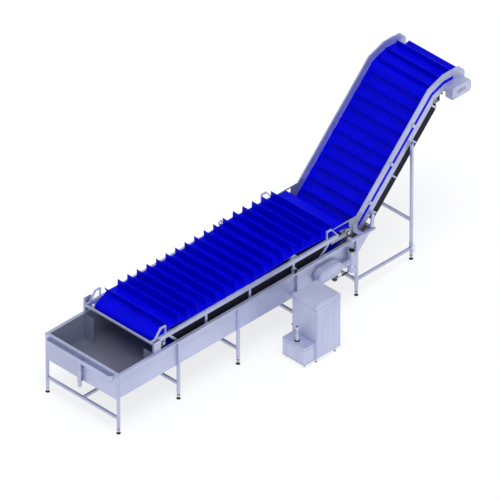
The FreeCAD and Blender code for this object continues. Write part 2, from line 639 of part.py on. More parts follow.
def elevator_wheels():
    """Everything the elevator belt bends round, clockwise from the tail."""
    carry = parallel(edge_line(), CARRY_DEPTH)
    back = parallel(edge_line(), RETURN_DEPTH)
    slope = step(EDGE_LOW, EDGE_BEND)
    low = crossing(carry[1], slope, PICKUP_Z)
    tail = (*TAIL_AXIS, TAIL_RADIUS)
    low_wheel = corner_wheel((TAIL_AXIS[0], PICKUP_Z), low, carry[2], -HOLD_DOWN_RADIUS)
    bend = corner_wheel(carry[1], carry[2], carry[3], HOLD_DOWN_RADIUS)
    top = corner_wheel(carry[2], carry[3], carry[4], HOLD_DOWN_RADIUS)
    drive = (*DRIVE_AXIS, DRIVE_RADIUS)
    drum_bottom = (DRIVE_AXIS[0], DRIVE_AXIS[1] - DRIVE_RADIUS)
    back_bend = corner_wheel(drum_bottom, back[2], back[1], -RETURN_BEND_RADIUS)
    return_z = TAIL_AXIS[1] - TAIL_RADIUS
    back_low = crossing(back[1], slope, return_z)
    low_bend = corner_wheel(back[2], back_low, (TAIL_AXIS[0], return_z), RETURN_BEND_RADIUS)
    return [tail, low_wheel, bend, top, drive, back_bend, low_bend]


def belt_stations(wheels, pitch, shift):
    """Evenly spaced feet and headings right round an endless belt."""
    runs = belt_runs(wheels)
    pieces = []
    for index, (start, end, heading) in enumerate(runs):
        pieces.append((math.dist(start, end), start, heading, None))
        wheel = wheels[(index + 1) % len(wheels)]
        after = runs[(index + 1) % len(runs)][2]
        turn = math.atan2(heading[1], heading[0]) - math.atan2(after[1], after[0])
        turn = turn % (2 * math.pi) if wheel[2] > 0 else -((-turn) % (2 * math.pi))
        pieces.append((abs(wheel[2] * turn), wheel, heading, turn))
    total = sum(p[0] for p in pieces)
    count = round(total / pitch)
    stations = []
    for k in range(count):
        travel = (shift + k) * total / count % total
        for length, place, heading, turn in pieces:
            if travel > length:
                travel -= length
                continue
            if turn is None:
                stations.append((moved(place, heading, travel), heading))
            else:
                angle = math.atan2(heading[1], heading[0]) - turn * travel / length
                bent = (math.cos(angle), math.sin(angle))
                stations.append((moved(place[:2], right_of(bent), -place[2]), bent))
            break
    return stations


def along_slope(distance, depth):
    """Point a distance up the incline and a depth below the edge of the side members."""
    slope = step(EDGE_LOW, EDGE_BEND)
    return moved(moved(EDGE_LOW, slope, distance), right_of(slope), depth)


def slope_block(distance, length, depths, x):
    """Block that follows the incline, between two depths below the edge."""
    low, high = distance - length / 2, distance + length / 2
    return prism([along_slope(low, depths[0]), along_slope(high, depths[0]), along_slope(high, depths[1]),
                  along_slope(low, depths[1])], x)


def rail_band(first, last, x):
    """Side rail between two depths below the edge, from the lower plate to the end plate."""
    upper, lower = parallel(edge_line(), first), parallel(edge_line(), last)
    upper = [along_slope(PLATE_JOINT, first)] + upper[2:]
    lower = [along_slope(PLATE_JOINT, last)] + lower[2:]
    return prism(upper + lower[::-1], x)


def lower_plate(wheels):
    """Solid side plate that carries the elevator inside the tank and the tail shaft."""
    low, bottom = TAIL_AXIS[1] - 80, TAIL_AXIS[1] - 80
    front = TAIL_AXIS[0] - 60
    drum_clear = DRUM_AXIS[0] + DRUM_RADIUS + 13
    underside = crossing(along_slope(0, LOWER_EDGE), step(EDGE_LOW, EDGE_BEND), bottom)
    outline = [(front, low), (front, TAIL_AXIS[1] + 95), (DRUM_AXIS[0] + 10, DRUM_AXIS[1] - 83),
               (drum_clear, DRUM_AXIS[1] - 65), (drum_clear, EDGE_LOW[1] - 17), (EDGE_FRONT_Y, EDGE_LOW[1] - 17),
               (EDGE_FRONT_Y, EDGE_LOW[1]), EDGE_LOW, along_slope(PLATE_JOINT, 0), along_slope(PLATE_JOINT, LOWER_EDGE),
               underside]
    plate = prism(outline, (ELEVATOR_PLATE_X, PLATE_OUTER))
    window = slope_block((PLATE_JOINT + WINDOW_START) / 2, PLATE_JOINT - WINDOW_START,
                         (UPPER_RAIL, UPPER_RAIL + SLOT), (ELEVATOR_PLATE_X, PLATE_OUTER))
    plate = plate.cut(window)
    hold_down = wheels[1]
    plate = plate.cut(rod((400, 500), TAIL_AXIS, SHAFT_RADIUS + RUNNING))
    return plate.cut(rod((400, 500), hold_down[:2], SHAFT_RADIUS / 2 + RUNNING))


def end_plate():
    """Six-sided plate at the discharge end that carries the drive shaft."""
    drop = EDGE_END_Y - EDGE_CHAMFER_Y
    bottom = DRIVE_AXIS[1] - 78
    outline = [(END_PLATE_Y, EDGE_TOP_Z), (EDGE_CHAMFER_Y, EDGE_TOP_Z), (EDGE_END_Y, EDGE_TOP_Z - drop),
               (EDGE_END_Y, bottom + 55), (EDGE_END_Y - 55, bottom), (END_PLATE_Y, bottom)]
    plate = prism(outline, (ELEVATOR_PLATE_X, PLATE_OUTER + 3))
    return plate.cut(rod((400, 500), DRIVE_AXIS, SHAFT_RADIUS + RUNNING))


def tray_limit(back_bend):
    """Distance up the incline where the return tray gives way to the return bend disc."""
    slope = step(EDGE_LOW, EDGE_BEND)
    reach = (back_bend[0] - EDGE_LOW[0]) * slope[0] + (back_bend[1] - EDGE_LOW[1]) * slope[1]
    return reach - RETURN_BEND_RADIUS - 12


def return_gusset(back_bend):
    """Plate under the lower rail that carries the return bend disc."""
    rail = parallel(edge_line(), LOWER_EDGE)
    start = along_slope(tray_limit(back_bend) + 6, LOWER_EDGE)
    corner = along_slope(tray_limit(back_bend) + 6, LOWER_EDGE + TRAY_DEPTH)
    y_end = rail[2][0] + 70
    z_end = rail[2][1] + 70 * math.tan(math.radians(TOP_ANGLE))
    low = back_bend[1] - 30
    outline = [start, rail[2], (y_end, z_end), (y_end, low), (back_bend[0] + 10, low), corner]
    plate = prism(outline, (ELEVATOR_PLATE_X, PLATE_OUTER))
    return plate.cut(rod((400, 500), back_bend[:2], SHAFT_RADIUS / 2 + RUNNING))


def elevator_frame(wheels):
    sheet = (ELEVATOR_PLATE_X, PLATE_OUTER)
    slope_length = math.dist(EDGE_LOW, EDGE_BEND)
    block_x, bolt_x = (PLATE_OUTER, PLATE_OUTER + 10), (PLATE_OUTER + 10, PLATE_OUTER + 15)
    slot_middle = UPPER_RAIL + SLOT / 2
    blocks, bolts, straps, bars = [], [], [], []
    for k in range(int((slope_length - 150) // BLOCK_PITCH) + 1):
        place = 200 + k * BLOCK_PITCH
        blocks.append(slope_block(place, 38, (UPPER_RAIL - 22, UPPER_RAIL + SLOT + 22), block_x))
        for reach in (-SLOT / 2 - 12, SLOT / 2 + 12):
            bolts.append(hexagon_head(bolt_x, along_slope(place, slot_middle + reach), 7))
        bars.append(slope_block(place + 40, 40, (UPPER_RAIL + SLOT, UPPER_RAIL + SLOT + BAR_HEIGHT),
                                (-ELEVATOR_PLATE_X, ELEVATOR_PLATE_X)))

    flange = parallel(edge_line(), 3)
    edge = edge_line()
    flange_outline = edge[1:] + flange[1:][::-1]
    top_flange = prism(flange_outline, (PLATE_OUTER, PLATE_OUTER + 12))

    tray_start, tray_end = 45.0, tray_limit(wheels[5])
    middle, length = (tray_start + tray_end) / 2, tray_end - tray_start
    skirt = slope_block(middle, length, (LOWER_EDGE, LOWER_EDGE + TRAY_DEPTH), sheet)
    pan = slope_block(middle, length, (LOWER_EDGE + TRAY_DEPTH - 3, LOWER_EDGE + TRAY_DEPTH),
                      (-ELEVATOR_PLATE_X, ELEVATOR_PLATE_X))
    strap_x = (PLATE_OUTER, PLATE_OUTER + 3)
    for k in range(int((length - 60) // STRAP_PITCH) + 1):
        place = tray_start + 90 + k * STRAP_PITCH
        side = slope_block(place, 18, (LOWER_EDGE - 8, LOWER_EDGE + TRAY_DEPTH + 3), strap_x)
        under = slope_block(place, 18, (LOWER_EDGE + TRAY_DEPTH, LOWER_EDGE + TRAY_DEPTH + 3),
                            (-PLATE_OUTER, PLATE_OUTER))
        straps.append(side.fuse(mirror(side)).fuse(under).removeSplitter())

    return {
        "elevator_upper_rails": both_sides([rail_band(0, UPPER_RAIL, sheet), top_flange]),
        "elevator_lower_rails": both_sides([rail_band(UPPER_RAIL + SLOT, LOWER_EDGE, sheet)]),
        "elevator_lower_plates": both_sides([lower_plate(wheels)]),
        "elevator_end_plates": both_sides([end_plate()]),
        "rail_blocks": both_sides(blocks),
        "frame_bolts": both_sides(bolts),
        "cross_bars": bars,
        "elevator_wear_strips": wear_strips(slope_length, tray_end),
        "return_tray": both_sides([skirt, return_gusset(wheels[5])]) + [pan],
        "tray_straps": straps,
    }


def wear_strips(slope_length, tray_end):
    """Plastic strips that the belt slides over, above and below."""
    carry = (CARRY_DEPTH + BELT_THICKNESS + TOUCH, UPPER_RAIL + SLOT)
    back = (RETURN_DEPTH + TOUCH, RETURN_DEPTH + 15)
    middle, length = slope_length / 2 + 20, slope_length - 120
    strips = [slope_block(middle, length, carry, (x - 15, x + 15)) for x in (-375, -125, 125, 375)]
    guide_top, guide_foot = [[along_slope(WINDOW_START, depth)] + parallel(edge_line(), depth)[2:]
                             for depth in (CARRY_DEPTH - 3, carry[1])]
    guide = prism(guide_top + guide_foot[::-1], (ELEVATOR_HALF + 1, ELEVATOR_PLATE_X))
    strips += both_sides([guide])
    edge = ELEVATOR_HALF - ELEVATOR_INSET + 12
    back_middle, back_length = (80 + tray_end) / 2, tray_end - 80
    strips += both_sides([slope_block(back_middle, back_length, back, (edge, ELEVATOR_PLATE_X))])
    return strips


def disc_pair(wheel, clearance):
    """Edge disc with its stub shaft on each side of the belt."""
    inner, outer = ELEVATOR_HALF - ELEVATOR_INSET + 8, ELEVATOR_HALF
    disc = rod((inner, outer), wheel[:2], abs(wheel[2]) - clearance)
    stub = rod((outer, PLATE_OUTER + 15), wheel[:2], SHAFT_RADIUS / 2)
    return disc.fuse(stub)


def bearing(x, centre, bore, size):
    block = box(x, (centre[0] - size, centre[0] + size), (centre[1] - size, centre[1] + size))
    return block.cut(rod(x, centre, bore))


def elevator():
    wheels = elevator_wheels()
    nodes = gather(elevator_frame(wheels), drive_unit(), elevator_supports())
    half = ELEVATOR_HALF - ELEVATOR_INSET
    feet = belt_stations(wheels, FLIGHT_PITCH, FLIGHT_SHIFT)
    nodes["elevator_belt"] = belt_band(wheels, ELEVATOR_HALF)
    nodes["elevator_flights"] = [flight(f, heading, ELEVATOR_FLIGHT, half) for f, heading in feet]
    shaft = (-PLATE_OUTER - 33, PLATE_OUTER + 33)
    nodes["elevator_drive_shaft"] = [rod((shaft[0], GEARBOX_X[1]), DRIVE_AXIS, SHAFT_RADIUS)]
    nodes["elevator_drive_sprockets"] = sprocket_row(DRIVE_AXIS, DRIVE_RADIUS, half - 30, 7, SHAFT_RADIUS)
    nodes["elevator_tail_shaft"] = [rod(shaft, TAIL_AXIS, SHAFT_RADIUS)]
    tip = TAIL_RADIUS - BELT_THICKNESS - TOUCH
    nodes["elevator_tail_rollers"] = [ring((m - 40, m + 40), TAIL_AXIS, tip, SHAFT_RADIUS)
                                      for m in (-360, -180, 0, 180, 360)]
    hold_down, back_bend = disc_pair(wheels[1], TOUCH), disc_pair(wheels[5], TOUCH)
    nodes["hold_down_discs"] = both_sides([hold_down])
    nodes["return_bend_discs"] = both_sides([back_bend])
    bore = SHAFT_RADIUS + RUNNING
    far_x = (PLATE_OUTER, PLATE_OUTER + 28)
    bearings = both_sides([bearing(far_x, TAIL_AXIS, bore, 38)])
    bearings.append(mirror(bearing((PLATE_OUTER + 3, PLATE_OUTER + 31), DRIVE_AXIS, bore, 45)))
    for wheel in (wheels[1], wheels[5]):
        bearings += both_sides([bearing((PLATE_OUTER, PLATE_OUTER + 14), wheel[:2], SHAFT_RADIUS / 2 + RUNNING, 22)])
    nodes["elevator_bearings"] = bearings
    return nodes


FLIGHT_SHIFT = 0.35
GEARBOX_X = (PLATE_OUTER + 5, PLATE_OUTER + 93)
COVER_Y = (5305.0, 5602.0)
COVER_Z = (1945.0, 2102.0)
COVER_SHEET = 2.0


def drive_unit():
    """Gear unit and motor on the end of the drive shaft, under a sheet cover."""
    gear = box(GEARBOX_X, (DRIVE_AXIS[0] - 55, DRIVE_AXIS[0] + 55), (DRIVE_AXIS[1] - 95, COVER_Z[1] - 6))
    gear = gear.cut(rod(GEARBOX_X, DRIVE_AXIS, SHAFT_RADIUS + RUNNING))
    middle_x, motor_z = sum(GEARBOX_X) / 2, DRIVE_AXIS[1] - 55
    motor = Part.makeCylinder(38, DRIVE_AXIS[0] - 55 - COVER_Y[0] - 12, V(middle_x, COVER_Y[0] + 12, motor_z), V(0, 1, 0))
    x = (PLATE_OUTER + 3, COVER_X)
    cut_low, cut_high = 38.0, 22.0

    def outline(inset):
        y, z = (COVER_Y[0] + inset, COVER_Y[1] - inset), (COVER_Z[0] + inset, COVER_Z[1] - inset)
        return [(y[0], z[0]), (y[1] - cut_low, z[0]), (y[1], z[0] + cut_low), (y[1], z[1] - cut_high),
                (y[1] - cut_high, z[1]), (y[0], z[1])]

    cover = prism(outline(0), x).cut(prism(outline(COVER_SHEET), (x[0], x[1] - COVER_SHEET)))
    notch = box((x[0], x[0] + 4), (COVER_Y[0], DRIVE_AXIS[0] + 90), (COVER_Z[1] - COVER_SHEET, COVER_Z[1]))
    screws = []
    for y in (COVER_Y[0] + 40, COVER_Y[1] - 60):
        for z in (COVER_Z[0] + 30, COVER_Z[1] - 30):
            screws.append(hexagon_head((COVER_X, COVER_X + 4), (y, z), 6))
    return {"gearmotor": [gear, motor], "motor_cover": [cover], "frame_bolts": screws}


COVER_X = 586.0


def elevator_supports():
    """Brackets that stand the elevator on the tank rim, and the struts at the end of the rim."""
    base = RIM_Z + TANK_SHEET
    seat_y = (EDGE_LOW[0] - 60, EDGE_LOW[0] + 10)
    outer = TANK_HALF + RIM_WIDTH - TANK_SHEET
    seat = box((PLATE_OUTER, outer - 5), seat_y, (base, base + 8))
    web = prism([(seat_y[0], base + 8), (seat_y[1], base + 8), (seat_y[1], base + 90), (seat_y[0], base + 90)],
                (PLATE_OUTER, PLATE_OUTER + 8))
    bracket = seat.fuse(web).removeSplitter()
    strut_x = PLATE_OUTER + 40
    strut_foot = V(strut_x + 45, TANK_END - 28, base)
    strut_head = V(strut_x + 10, *along_slope(110, LOWER_EDGE - 30))
    run = strut_head - strut_foot
    strut = Part.makeCylinder(22, run.Length, strut_foot, run)
    level = box((strut_x - 60, strut_x + 120), (TANK_END - 120, TANK_END + 60), (base, base + 500))
    strut = strut.common(level)
    head = box((PLATE_OUTER, strut_head.x), (strut_head.y - 20, strut_head.y + 20), (strut_head.z - 20, strut_head.z + 20))
    return {"elevator_supports": both_sides([bracket, strut.fuse(head)])}


# ---- water fittings on the near wall ----------------------------------------------------------
DUCT_Y, DUCT_Z = (3095.0, 3475.0), (500.0, 690.0)
DUCT_DEPTH = 100.0
COLUMN_Y, COLUMN_Z, COLUMN_RADIUS = 3666.0, (424.0, 694.0), 54.0
VALVE_Y, VALVE_X = 3488.0, 515.0
VALVE_RADIUS = 30.0
LEVER_LENGTH = 150.0


def obround(x, y, z, inset):
    """Upright plate with round ends, along y."""
    radius = (z[1] - z[0]) / 2 - inset
    middle = (z[0] + z[1]) / 2
    ends = (y[0] + inset + radius, y[1] - inset - radius)
    body = box(x, ends, (middle - radius, middle + radius))
    for end in ends:
        body = body.fuse(rod(x, (end, middle), radius))
    return body.removeSplitter()


def suction_duct():
    """Flanged duct body bolted to the wall, with a raised cover and a row of vents."""
    wall = TANK_HALF
    flange = obround((wall, wall + 8), DUCT_Y, DUCT_Z, -14)
    body = obround((wall + 8, wall + DUCT_DEPTH - 12), DUCT_Y, DUCT_Z, 0)
    cover = obround((wall + DUCT_DEPTH - 12, wall + DUCT_DEPTH), DUCT_Y, DUCT_Z, 8)
    knob = rod((wall, wall + 42), (DUCT_Y[0] - 4, DUCT_Z[0] + 2), 11)
    return [flange.cut(knob), body.cut(knob), cover, knob]


def pump_column():
    """Upright pump housing on the wall, its inlet elbow, and the foot that stands on its lid."""
    x = TANK_HALF + COLUMN_RADIUS + 6
    middle_z = (DUCT_Z[0] + DUCT_Z[1]) / 2 - 30
    body = post(x, COLUMN_Y, COLUMN_Z, COLUMN_RADIUS)
    lid = post(x, COLUMN_Y, (COLUMN_Z[1], COLUMN_Z[1] + 8), COLUMN_RADIUS + 3)
    inlet = Part.makeCylinder(34, COLUMN_Y - DUCT_Y[1], V(x, DUCT_Y[1], middle_z), V(0, 1, 0))
    around = post(x, COLUMN_Y, COLUMN_Z, COLUMN_RADIUS + TOUCH)
    inlet = inlet.cut(around)
    collar = Part.makeCylinder(41, 14, V(x, DUCT_Y[1] + 60, middle_z), V(0, 1, 0)).cut(
        Part.makeCylinder(34 + TOUCH, 14, V(x, DUCT_Y[1] + 60, middle_z), V(0, 1, 0)))
    saddle = box((TANK_HALF, x - COLUMN_RADIUS * 0.8), (COLUMN_Y - 30, COLUMN_Y + 30), (COLUMN_Z[0] + 40, COLUMN_Z[1] - 60))
    saddle = saddle.cut(around)
    return [body, lid, inlet, collar, saddle]


def column_foot():
    """Support arm of the elevator that ends in a levelling foot on the column's lid."""
    x = TANK_HALF + COLUMN_RADIUS + 6
    lid = COLUMN_Z[1] + 8
    arm_z = RIM_Z + TANK_SHEET + 34
    pad = post(x, COLUMN_Y, (lid, lid + 8), 34).fuse(Part.makeCone(34, 12, 8, V(x, COLUMN_Y, lid + 8)))
    spindle = post(x, COLUMN_Y, (lid + 16, arm_z), SPINDLE_RADIUS)
    arm = box((x - 20, x + 20), (COLUMN_Y - 20, COLUMN_Y + 20), (arm_z, arm_z + 12))
    carrier = box((TANK_HALF - TANK_SHEET, x - 20), (COLUMN_Y - 20, COLUMN_Y + 20), (arm_z - 34, arm_z + 12))
    return pad, spindle, arm.fuse(carrier).removeSplitter()


def drain_valve():
    """Ball valve under the tank floor, and its lever."""
    bottom = TANK_BOTTOM - 130
    centre_z = TANK_BOTTOM - 70
    parts = post(VALVE_X, VALVE_Y, (bottom, TANK_BOTTOM), VALVE_RADIUS * 0.8)
    parts = parts.fuse(post(VALVE_X, VALVE_Y, (TANK_BOTTOM - 10, TANK_BOTTOM), VALVE_RADIUS + 14))
    parts = parts.fuse(post(VALVE_X, VALVE_Y, (bottom, bottom + 22), VALVE_RADIUS + 4))
    parts = parts.fuse(Part.makeSphere(VALVE_RADIUS + 6, V(VALVE_X, VALVE_Y, centre_z)))
    neck = rod((VALVE_X, VALVE_X + VALVE_RADIUS + 18), (VALVE_Y, centre_z), 12)
    parts = parts.fuse(neck).cut(post(VALVE_X, VALVE_Y, (bottom, centre_z - 20), VALVE_RADIUS * 0.6))
    hub_x = VALVE_X + VALVE_RADIUS + 18
    hub = rod((hub_x, hub_x + 12), (VALVE_Y, centre_z), 16)
    arm = box((hub_x + 2, hub_x + 8), (VALVE_Y, VALVE_Y + LEVER_LENGTH), (centre_z - 10, centre_z + 10))
    grip = box((hub_x, hub_x + 14), (VALVE_Y + LEVER_LENGTH * 0.45, VALVE_Y + LEVER_LENGTH + 4),
               (centre_z - 13, centre_z + 13))
    return parts.removeSplitter(), hub.fuse(arm).fuse(grip).removeSplitter()


def fittings():
    pad, spindle, arm = column_foot()
    body, lever = drain_valve()
    return {"suction_duct": suction_duct(), "pump_column": pump_column(), "foot_pads": [pad],
            "foot_spindles": [spindle], "elevator_supports": [arm], "drain_valve": [body], "valve_lever": [lever]}


# ---- pump cabinet -------------------------------------------------------------------------------
CABINET_SHEET = 2.0
CABINET_FOOT_RADIUS = 15.0
LID_HEIGHT = 62.0
LID_SLOPE = 14.0


def cabinet():
    """Tall sheet cabinet with a folded lid on four feet, and the pump that it covers."""
    (x0, x1), (y0, y1), (z0, z1) = CABINET_X, CABINET_Y, CABINET_Z
    lid_z = z1 - LID_HEIGHT
    s = CABINET_SHEET
    inner = ((x0 + s, x1 - s), (y0 + s, y1 - s))
    shell = box(CABINET_X, CABINET_Y, (z0, lid_z)).cut(box(*inner, (z0 + s, lid_z)))

    def lid_block(inset, top):
        low = [V(x0 + inset, y0 + inset, lid_z), V(x1 - inset, y0 + inset, lid_z),
               V(x1 - inset, y1 - inset, lid_z), V(x0 + inset, y1 - inset, lid_z)]
        wall = Part.Face(Part.makePolygon(low + low[:1])).extrude(V(0, 0, top - LID_SLOPE - lid_z))
        corner = LID_SLOPE
        crown = Part.makeLoft([
            Part.makePolygon([p + V(0, 0, top - LID_SLOPE - lid_z) for p in low + low[:1]]),
            Part.makePolygon([V(p.x + (corner if p.x < (x0 + x1) / 2 else -corner),
                                p.y + (corner if p.y < (y0 + y1) / 2 else -corner), top) for p in low + low[:1]])], True)
        return wall.fuse(crown).removeSplitter()

    lid = lid_block(0, z1).cut(lid_block(s, z1 - s))
    feet, pads = [], []
    for x in (x0 + 30, x1 - 30):
        for y in (y0 + 30, y1 - 60):
            feet.append(post(x, y, (5, z0), 8))
            feet.append(post(x, y, (0, 5), CABINET_FOOT_RADIUS))
    plate = box((x0 + 60, x1 - 60), (y0 + 60, y1 - 60), (z0 + s, z0 + s + 20))
    motor = post((x0 + x1) / 2, (y0 + y1) / 2, (z0 + s + 160, z0 + s + 460), 90)
    volute = post((x0 + x1) / 2, (y0 + y1) / 2, (z0 + s + 20, z0 + s + 160), 115)
    screws = []
    for y in (y0 + 50, y1 - 50):
        screws.append(hexagon_head((x1, x1 + 3), (y, lid_z + 20), 6))
    return {"cabinet_body": [shell], "cabinet_lid": [lid], "cabinet_feet": feet,
            "pump_unit": [plate, volute, motor], "frame_bolts": screws}


def transfer_pipe():
    """Pipe with a flange at each end that takes water from the tank wall to the cabinet."""
    x = (TANK_HALF, CABINET_X[0])
    centre = (LEG_Y[3] - LEG_SIZE / 2 - 40, CABINET_Z[1] - 270)
    pipe = ring(x, centre, 30, 27)
    flanges = [ring((x[0], x[0] + 10), centre, 38, 30 + TOUCH), ring((x[1] - 10, x[1]), centre, 38, 30 + TOUCH)]
    return {"transfer_pipe": [pipe] + flanges}


def dosing_box():
    """Low rounded box beside the cabinet, with its level probe and hose elbow."""
    x, y = (CABINET_X[0], CABINET_X[1] - 15), (DOSING_Y, CABINET_Y[0])
    block = box(x, y, (DOSING_BOTTOM, DOSING_TOP))
    uprights = [e for e in block.Edges if e.BoundBox.ZLength > DOSING_TOP - DOSING_BOTTOM - 1 and e.BoundBox.YMin < y[0] + 1]
    block = block.makeFillet(28, uprights)
    top = [e for e in block.Edges if e.BoundBox.ZMin > DOSING_TOP - 1 and e.BoundBox.YMin < y[1] - 1]
    block = block.makeFillet(10, top)
    probe_x, probe_y = x[0] + 175, y[0] + 75
    base = post(probe_x, probe_y, (DOSING_TOP, DOSING_TOP + 12), 30)
    column = post(probe_x, probe_y, (DOSING_TOP + 12, DOSING_TOP + 190), 21)
    cap = post(probe_x, probe_y, (DOSING_TOP + 190, DOSING_TOP + 196), 12)
    elbow = rod((x[0] - 58, x[0]), (y[1] + 55, DOSING_TOP + 40), 24)
    elbow = elbow.makeFillet(18, [e for e in elbow.Edges if e.BoundBox.XMax < x[0] - 57])
    screws = []
    for place in (x[0] + 60, x[0] + 180, x[0] + 300):
        head = Part.makeCylinder(6, 3, V(place, y[0] - 3, DOSING_BOTTOM + 22), V(0, 1, 0))
        screws.append(head)
    feet = []
    for fx in (x[0] + 40, x[1] - 40):
        feet.append(post(fx, y[0] + 45, (0, DOSING_BOTTOM), 12))
    return {"dosing_box": [block], "level_probe": [base, column, cap, elbow], "frame_bolts": screws,
            "cabinet_feet": feet}


# ---- the whole machine ------------------------------------------------------------------------
def machine():
    return gather(tank(), gutter(), legs(), immersion(), elevator(), fittings(), cabinet(), transfer_pipe(),
                  dosing_box())


def origin_of(nodes):
    """Point on the floor under the middle of the whole machine."""
    boxes = [solid.BoundBox for solids in nodes.values() for solid in solids]
    x = (min(b.XMin for b in boxes) + max(b.XMax for b in boxes)) / 2
    y = (min(b.YMin for b in boxes) + max(b.YMax for b in boxes)) / 2
    return V(x, y, min(b.ZMin for b in boxes))


def write(nodes):
    os.makedirs("parts", exist_ok=True)
    origin = origin_of(nodes)
    for name, solids in nodes.items():
        shape = solids[0] if len(solids) == 1 else Part.makeCompound(solids)
        shape = shape.copy()
        shape.translate(origin * -1)
        shape.exportStep(f"parts/{name}.step")
    print(len(nodes), "nodes, origin moved to", [round(c, 3) for c in origin])


write(machine())
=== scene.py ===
# %% [markdown]
# This lesson dresses a wash tank with a flighted belt in it, a steep flighted elevator behind it,
# and a small pump cabinet beside it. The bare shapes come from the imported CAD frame, which stays
# where it is. Every finish and every small piece that catches the eye is made here: belt modules,
# flights with ribs, screws, welds, threaded feet, seams and seals.

# %% Frame
import math

import bmesh
import bpy
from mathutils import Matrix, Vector


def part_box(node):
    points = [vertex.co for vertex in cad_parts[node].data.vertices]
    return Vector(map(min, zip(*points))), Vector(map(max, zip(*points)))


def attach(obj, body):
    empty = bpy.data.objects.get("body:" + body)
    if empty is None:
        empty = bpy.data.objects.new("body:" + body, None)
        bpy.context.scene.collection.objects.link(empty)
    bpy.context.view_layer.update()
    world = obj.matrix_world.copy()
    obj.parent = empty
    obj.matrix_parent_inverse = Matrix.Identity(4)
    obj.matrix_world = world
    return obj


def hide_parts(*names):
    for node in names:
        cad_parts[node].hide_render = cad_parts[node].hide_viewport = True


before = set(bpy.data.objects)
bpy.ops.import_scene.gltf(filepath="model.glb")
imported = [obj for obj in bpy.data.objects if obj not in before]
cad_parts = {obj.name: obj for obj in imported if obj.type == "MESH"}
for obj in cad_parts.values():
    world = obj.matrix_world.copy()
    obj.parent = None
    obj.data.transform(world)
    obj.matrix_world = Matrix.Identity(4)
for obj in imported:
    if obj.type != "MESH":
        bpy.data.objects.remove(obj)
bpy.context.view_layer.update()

# %% [markdown]
# The machine was drawn about its own tank corner, and model.glb places it over the floor's origin.
# One helper turns drawing millimetres into frame metres, so belt routes can be written with the
# wheel centres a fitter would read off the drawing.

# %% Drawing millimetres to frame metres
MM = 0.001
tank_low, tank_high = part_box("tank_floor")
wall_low, wall_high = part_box("tank_side_walls")
ORIGIN_Y = wall_high.y * 1000 - 4070.0
ORIGIN_X = (wall_low.x + wall_high.x) * 500


def at(x, y, z):
    """Frame position of a drawing position."""
    return Vector(((x + ORIGIN_X) / 1000, (y + ORIGIN_Y) / 1000, z / 1000))


print("drawing origin sits at", [round(v, 4) for v in at(0, 0, 0)])

# %% [markdown]
# The camera looks down at an equal angle to all three axes, as a drawing office view does. A very
# long lens from far away keeps parallel tubes parallel, and other views can still frame the part.

# %% Camera
AIM = at(-208.0, 2857.4, 700.0)
FIELD = 5.650                     # metres across the picture
DISTANCE = 200.0
SENSOR = 36.0

lens = bpy.data.cameras.new("long_lens")
lens.sensor_width = SENSOR
lens.lens = SENSOR * DISTANCE / FIELD
lens.clip_start, lens.clip_end = 100.0, 400.0
camera = bpy.data.objects.new("camera", lens)
bpy.context.scene.collection.objects.link(camera)
back = Vector((1.0, -1.0, 1.0)).normalized()
camera.location = AIM + back * DISTANCE
camera.rotation_mode = "QUATERNION"
camera.rotation_quaternion = (-back).to_track_quat("-Z", "Y")
bpy.context.scene.camera = camera
print("lens", round(lens.lens), "mm")

# %% [markdown]
# Shader maths reads best as Python arithmetic. A Wire is one output of a node, and adding or
# multiplying wires adds the Math nodes. A Finish owns one material, and its node() method makes any
# other node from its type, its settings and what its sockets hold.

# %% Wires and finishes
class Wire:
    """One output of a shader node that takes part in arithmetic."""

    def __init__(self, finish, socket):
        self.finish, self.socket = finish, socket

    def maths(self, operation, first, second):
        return self.finish.node("ShaderNodeMath", {"operation": operation}, {0: first, 1: second})

    def __add__(self, other):
        return self.maths("ADD", self, other)

    def __sub__(self, other):
        return self.maths("SUBTRACT", self, other)

    def __rsub__(self, other):
        return self.maths("SUBTRACT", other, self)

    def __mul__(self, other):
        return self.maths("MULTIPLY", self, other)

    def __gt__(self, other):
        return self.maths("GREATER_THAN", self, other)

    def __lt__(self, other):
        return self.maths("LESS_THAN", self, other)

    __radd__, __rmul__ = __add__, __mul__


